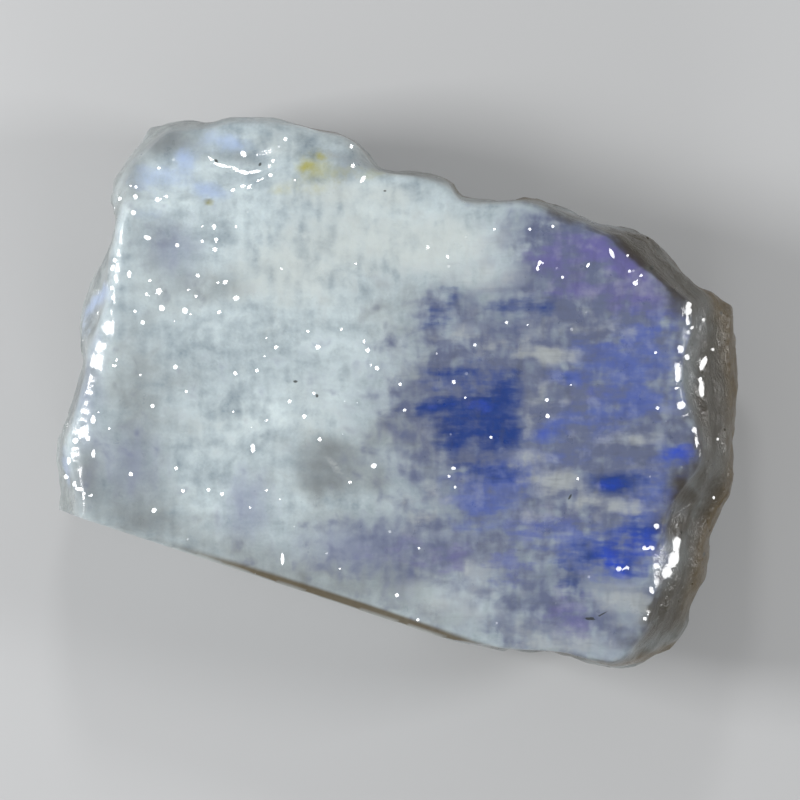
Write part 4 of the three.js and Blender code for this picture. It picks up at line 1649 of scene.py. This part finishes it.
    def roughness(self, board: StoneBoard) -> Socket:
        """Returns the gloss under the coat, a little uneven, and duller on the saw cut."""
        gloss = board.math("MULTIPLY_ADD", board.vein(Vein.GLOSS), GLOSS_PLAY, GLOSS)
        return board.math("MULTIPLY_ADD", board.carried("sawn"), CUT_DULLNESS, gloss)

    def relief(self, board: StoneBoard) -> Socket:
        """Roughens the surface finely: dimples, grit, hackle on the walls and saw marks.

        Args:
            board: The material's nodes.

        Returns:
            The uneven surface's normal.
        """
        sawn = board.carried("sawn")
        broken = board.math("SUBTRACT", board.carried("wall_and_shade"), sawn, clamp=True)
        height = board.product(board.vein(Vein.DIMPLES), DIMPLE_DEPTH)
        for relief, depth in (
            (board.vein(Vein.GRIT), GRIT_DEPTH),
            (board.product(board.vein(Vein.HACKLE), broken), HACKLE_DEPTH),
            (board.product(self.saw_marks(board), sawn), SAW_DEPTH),
        ):
            height = board.math("MULTIPLY_ADD", relief, depth, height)
        return board.node("Bump", {"Strength": 1.0, "Distance": 1.0 / BENCH, "Height": height}).outputs[0]

    def saw_marks(self, board: StoneBoard) -> Socket:
        """Marks the saw blade's shallow arcs, with dull grain between them.

        Args:
            board: The material's nodes.

        Returns:
            The marks' height, from 0 to about 1.
        """
        place = board.vector("ADD", board.stone, BLADE_HUB)
        inputs = {"Vector": place, "Scale": 1.3, "Distortion": 1.6, "Detail": 2.0, "Detail Scale": 1.2}
        arcs = board.node("TexWave", inputs, wave_type="RINGS", rings_direction="Y", wave_profile="SIN")
        dull = board.product(board.vein(Vein.SAW_GRAIN), DULL_SHARE)
        return board.math("MULTIPLY_ADD", arcs.outputs["Fac"], ARC_SHARE, dull)

    def flats(self, board: StoneBoard, normal: Socket) -> Socket:
        """Lays the cleavage flats, which all look the stone's own ways, and stray sparks in a surface.

        Args:
            board: The material's nodes.
            normal: The normal of the uneven surface.

        Returns:
            The normal with the flats.
        """
        inputs = {"Vector": board.grain, "Scale": SPARK_CELLS}
        cells = board.node("TexVoronoi", inputs, voronoi_dimensions="3D", feature="F1").outputs
        held, size, _ = board.node("SeparateColor", {0: cells["Color"]}).outputs
        size = board.math("MULTIPLY_ADD", size, SPARK_PLAY, SPARK_SIZE)
        inside = board.step(board.math("DIVIDE", cells["Distance"], size), *SPARK_EDGE)
        stray = board.vector("SUBTRACT", cells["Color"], (0.5, 0.5, 0.5))
        look = board.vector("MULTIPLY_ADD", stray, SPARK_STRAY, tuple(Cleavage.LEFT.way()))
        sparks = board.product(inside, board.step(held, *SPARKLESS))
        normal = board.turned_by(sparks, normal, look)
        flecks = board.spots("fleck", weight=0.4, soft=0.22)
        return board.turned_by(flecks, normal, board.carried("look", "Vector"))


@dataclass(frozen=True)
class PlainFinish:
    """A plain matt finish for what isn't part of the stone.

    Attributes:
        colour: Its colour.
        roughness: How matt it is, from 0 to 1.
    """

    colour: Colour
    roughness: float = 0.7

    def material(self) -> bpy.types.Material:
        """Builds the finish.

        Returns:
            Its material.
        """
        board = NodeBoard("plain floor")
        board.feed(board.shader, {"Base Color": self.colour, "Roughness": self.roughness})
        return board.material


# ---- The studio -------------------------------------------------------------------------------------


@dataclass(frozen=True)
class Softbox:
    """A square light that looks at the stone.

    Attributes:
        name: Its name.
        bearing: Where it stands, in degrees from the streaks' way, anticlockwise from above.
        elevation: Its height over the horizon, in degrees.
        distance: Its distance from the stone, in metres.
        side: The length of its side, in metres.
        radiance: How bright its face is.
        mirrored: Whether the gloss shows it.
    """

    name: str
    bearing: float
    elevation: float
    distance: float
    side: float
    radiance: float
    mirrored: bool = True

    def place(self, target: Vector) -> bpy.types.Object:
        """Adds the light and turns it to a target.

        Args:
            target: The point that it looks at.

        Returns:
            The light.
        """
        way = looking(self.bearing, 90.0 - self.elevation) @ UP
        light = bpy.data.lights.new(self.name, "AREA")
        light.shape = "SQUARE"
        light.size = self.side
        light.energy = self.radiance * math.pi * self.side**2
        lamp = bpy.data.objects.new(self.name, light)
        lamp.location = target + way * self.distance
        lamp.rotation_euler = way.to_track_quat("Z", "Y").to_euler()
        lamp.visible_glossy = self.mirrored
        bpy.context.scene.collection.objects.link(lamp)
        return lamp


@dataclass
class Studio:
    """The pale floor, the soft lights and the camera.

    Attributes:
        floor_colour: The floor's colour.
        floor_side: The length of the floor's side, in metres.
        floor_gap: How far the floor stays under the stone, so that the two never coincide, in metres.
        ambient: Brightness of the light from all round.
        seen_width: Width of what the camera sees at the height of the large face, in metres.
        aim: The point of the large face in the middle of the camera's view, in metres.
        lens: The camera's focal length, in mm.
        clip: How many times nearer and farther than the large face the camera still sees.
        softboxes: The lights.
    """

    floor_colour: Colour = screen(190, 191, 192)
    floor_side: float = 0.6
    floor_gap: float = 1e-5
    ambient: float = 0.32
    seen_width: float = 0.01732
    aim: tuple[float, float] = (-0.00005, -0.00027)
    lens: float = 400.0
    clip: float = 20.0
    softboxes: tuple[Softbox, ...] = each(
        Softbox,
        ("key left", 176, 34, 0.075, 0.024, 24.0),
        ("fill right", 4, 30, 0.080, 0.018, 22.0),
        ("top", 95, 38, 0.080, 0.012, 26.0, False),
        ("front", -85, 14, 0.090, 0.030, 7.0, False),
    )

    def build(self, top: float) -> None:
        """Sets up the studio.

        Args:
            top: Height of the large face, in metres.
        """
        self.lay_floor()
        self.set_world()
        for softbox in self.softboxes:
            softbox.place(Vector((0.0, 0.0, top)))
        self.set_camera(top)
        bpy.context.scene.view_settings.view_transform = "Standard"
        log.info("studio: %d lights", len(self.softboxes))

    def lay_floor(self) -> None:
        """Lays the floor under the stone."""
        clear_selection()
        bpy.ops.mesh.primitive_plane_add(size=self.floor_side, location=(0, 0, -self.floor_gap))
        floor = bpy.context.active_object
        floor.name = "floor"
        floor.data.materials.append(PlainFinish(self.floor_colour).material())

    def set_world(self) -> None:
        """Sets the even light from all round."""
        world = bpy.data.worlds.new("studio air")
        world.use_nodes = True
        sky = world.node_tree.nodes["Background"]
        sky.inputs["Color"].default_value = (1.0, 1.0, 1.0, 1.0)
        sky.inputs["Strength"].default_value = self.ambient
        bpy.context.scene.world = world

    def set_camera(self, top: float) -> None:
        """Stands the camera square over the large face.

        Args:
            top: Height of the large face, in metres.
        """
        lens = bpy.data.cameras.new("camera")
        lens.lens = self.lens
        distance = self.seen_width * self.lens / lens.sensor_width
        lens.clip_start = distance / self.clip
        lens.clip_end = distance * self.clip
        camera = bpy.data.objects.new("camera", lens)
        camera.location = (*self.aim, top + distance)
        camera.rotation_euler = (0.0, 0.0, STREAKS)
        bpy.context.scene.collection.objects.link(camera)
        bpy.context.scene.camera = camera


# ---- Making -----------------------------------------------------------------------------------------


def main() -> None:
    """Builds the stone and the studio."""
    logging.basicConfig(level=logging.INFO, format="%(name)s: %(message)s")
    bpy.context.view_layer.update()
    stone = StoneSlab(node="moonstone", name="feldspar_slab")
    piece = stone.build()
    piece.data.materials.clear()
    piece.data.materials.append(MilkyFeldspar().material())
    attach(piece, "root")
    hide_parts("moonstone")
    Studio().build(top=stone.thickness / BENCH)


if __name__ == "__main__":
    main()
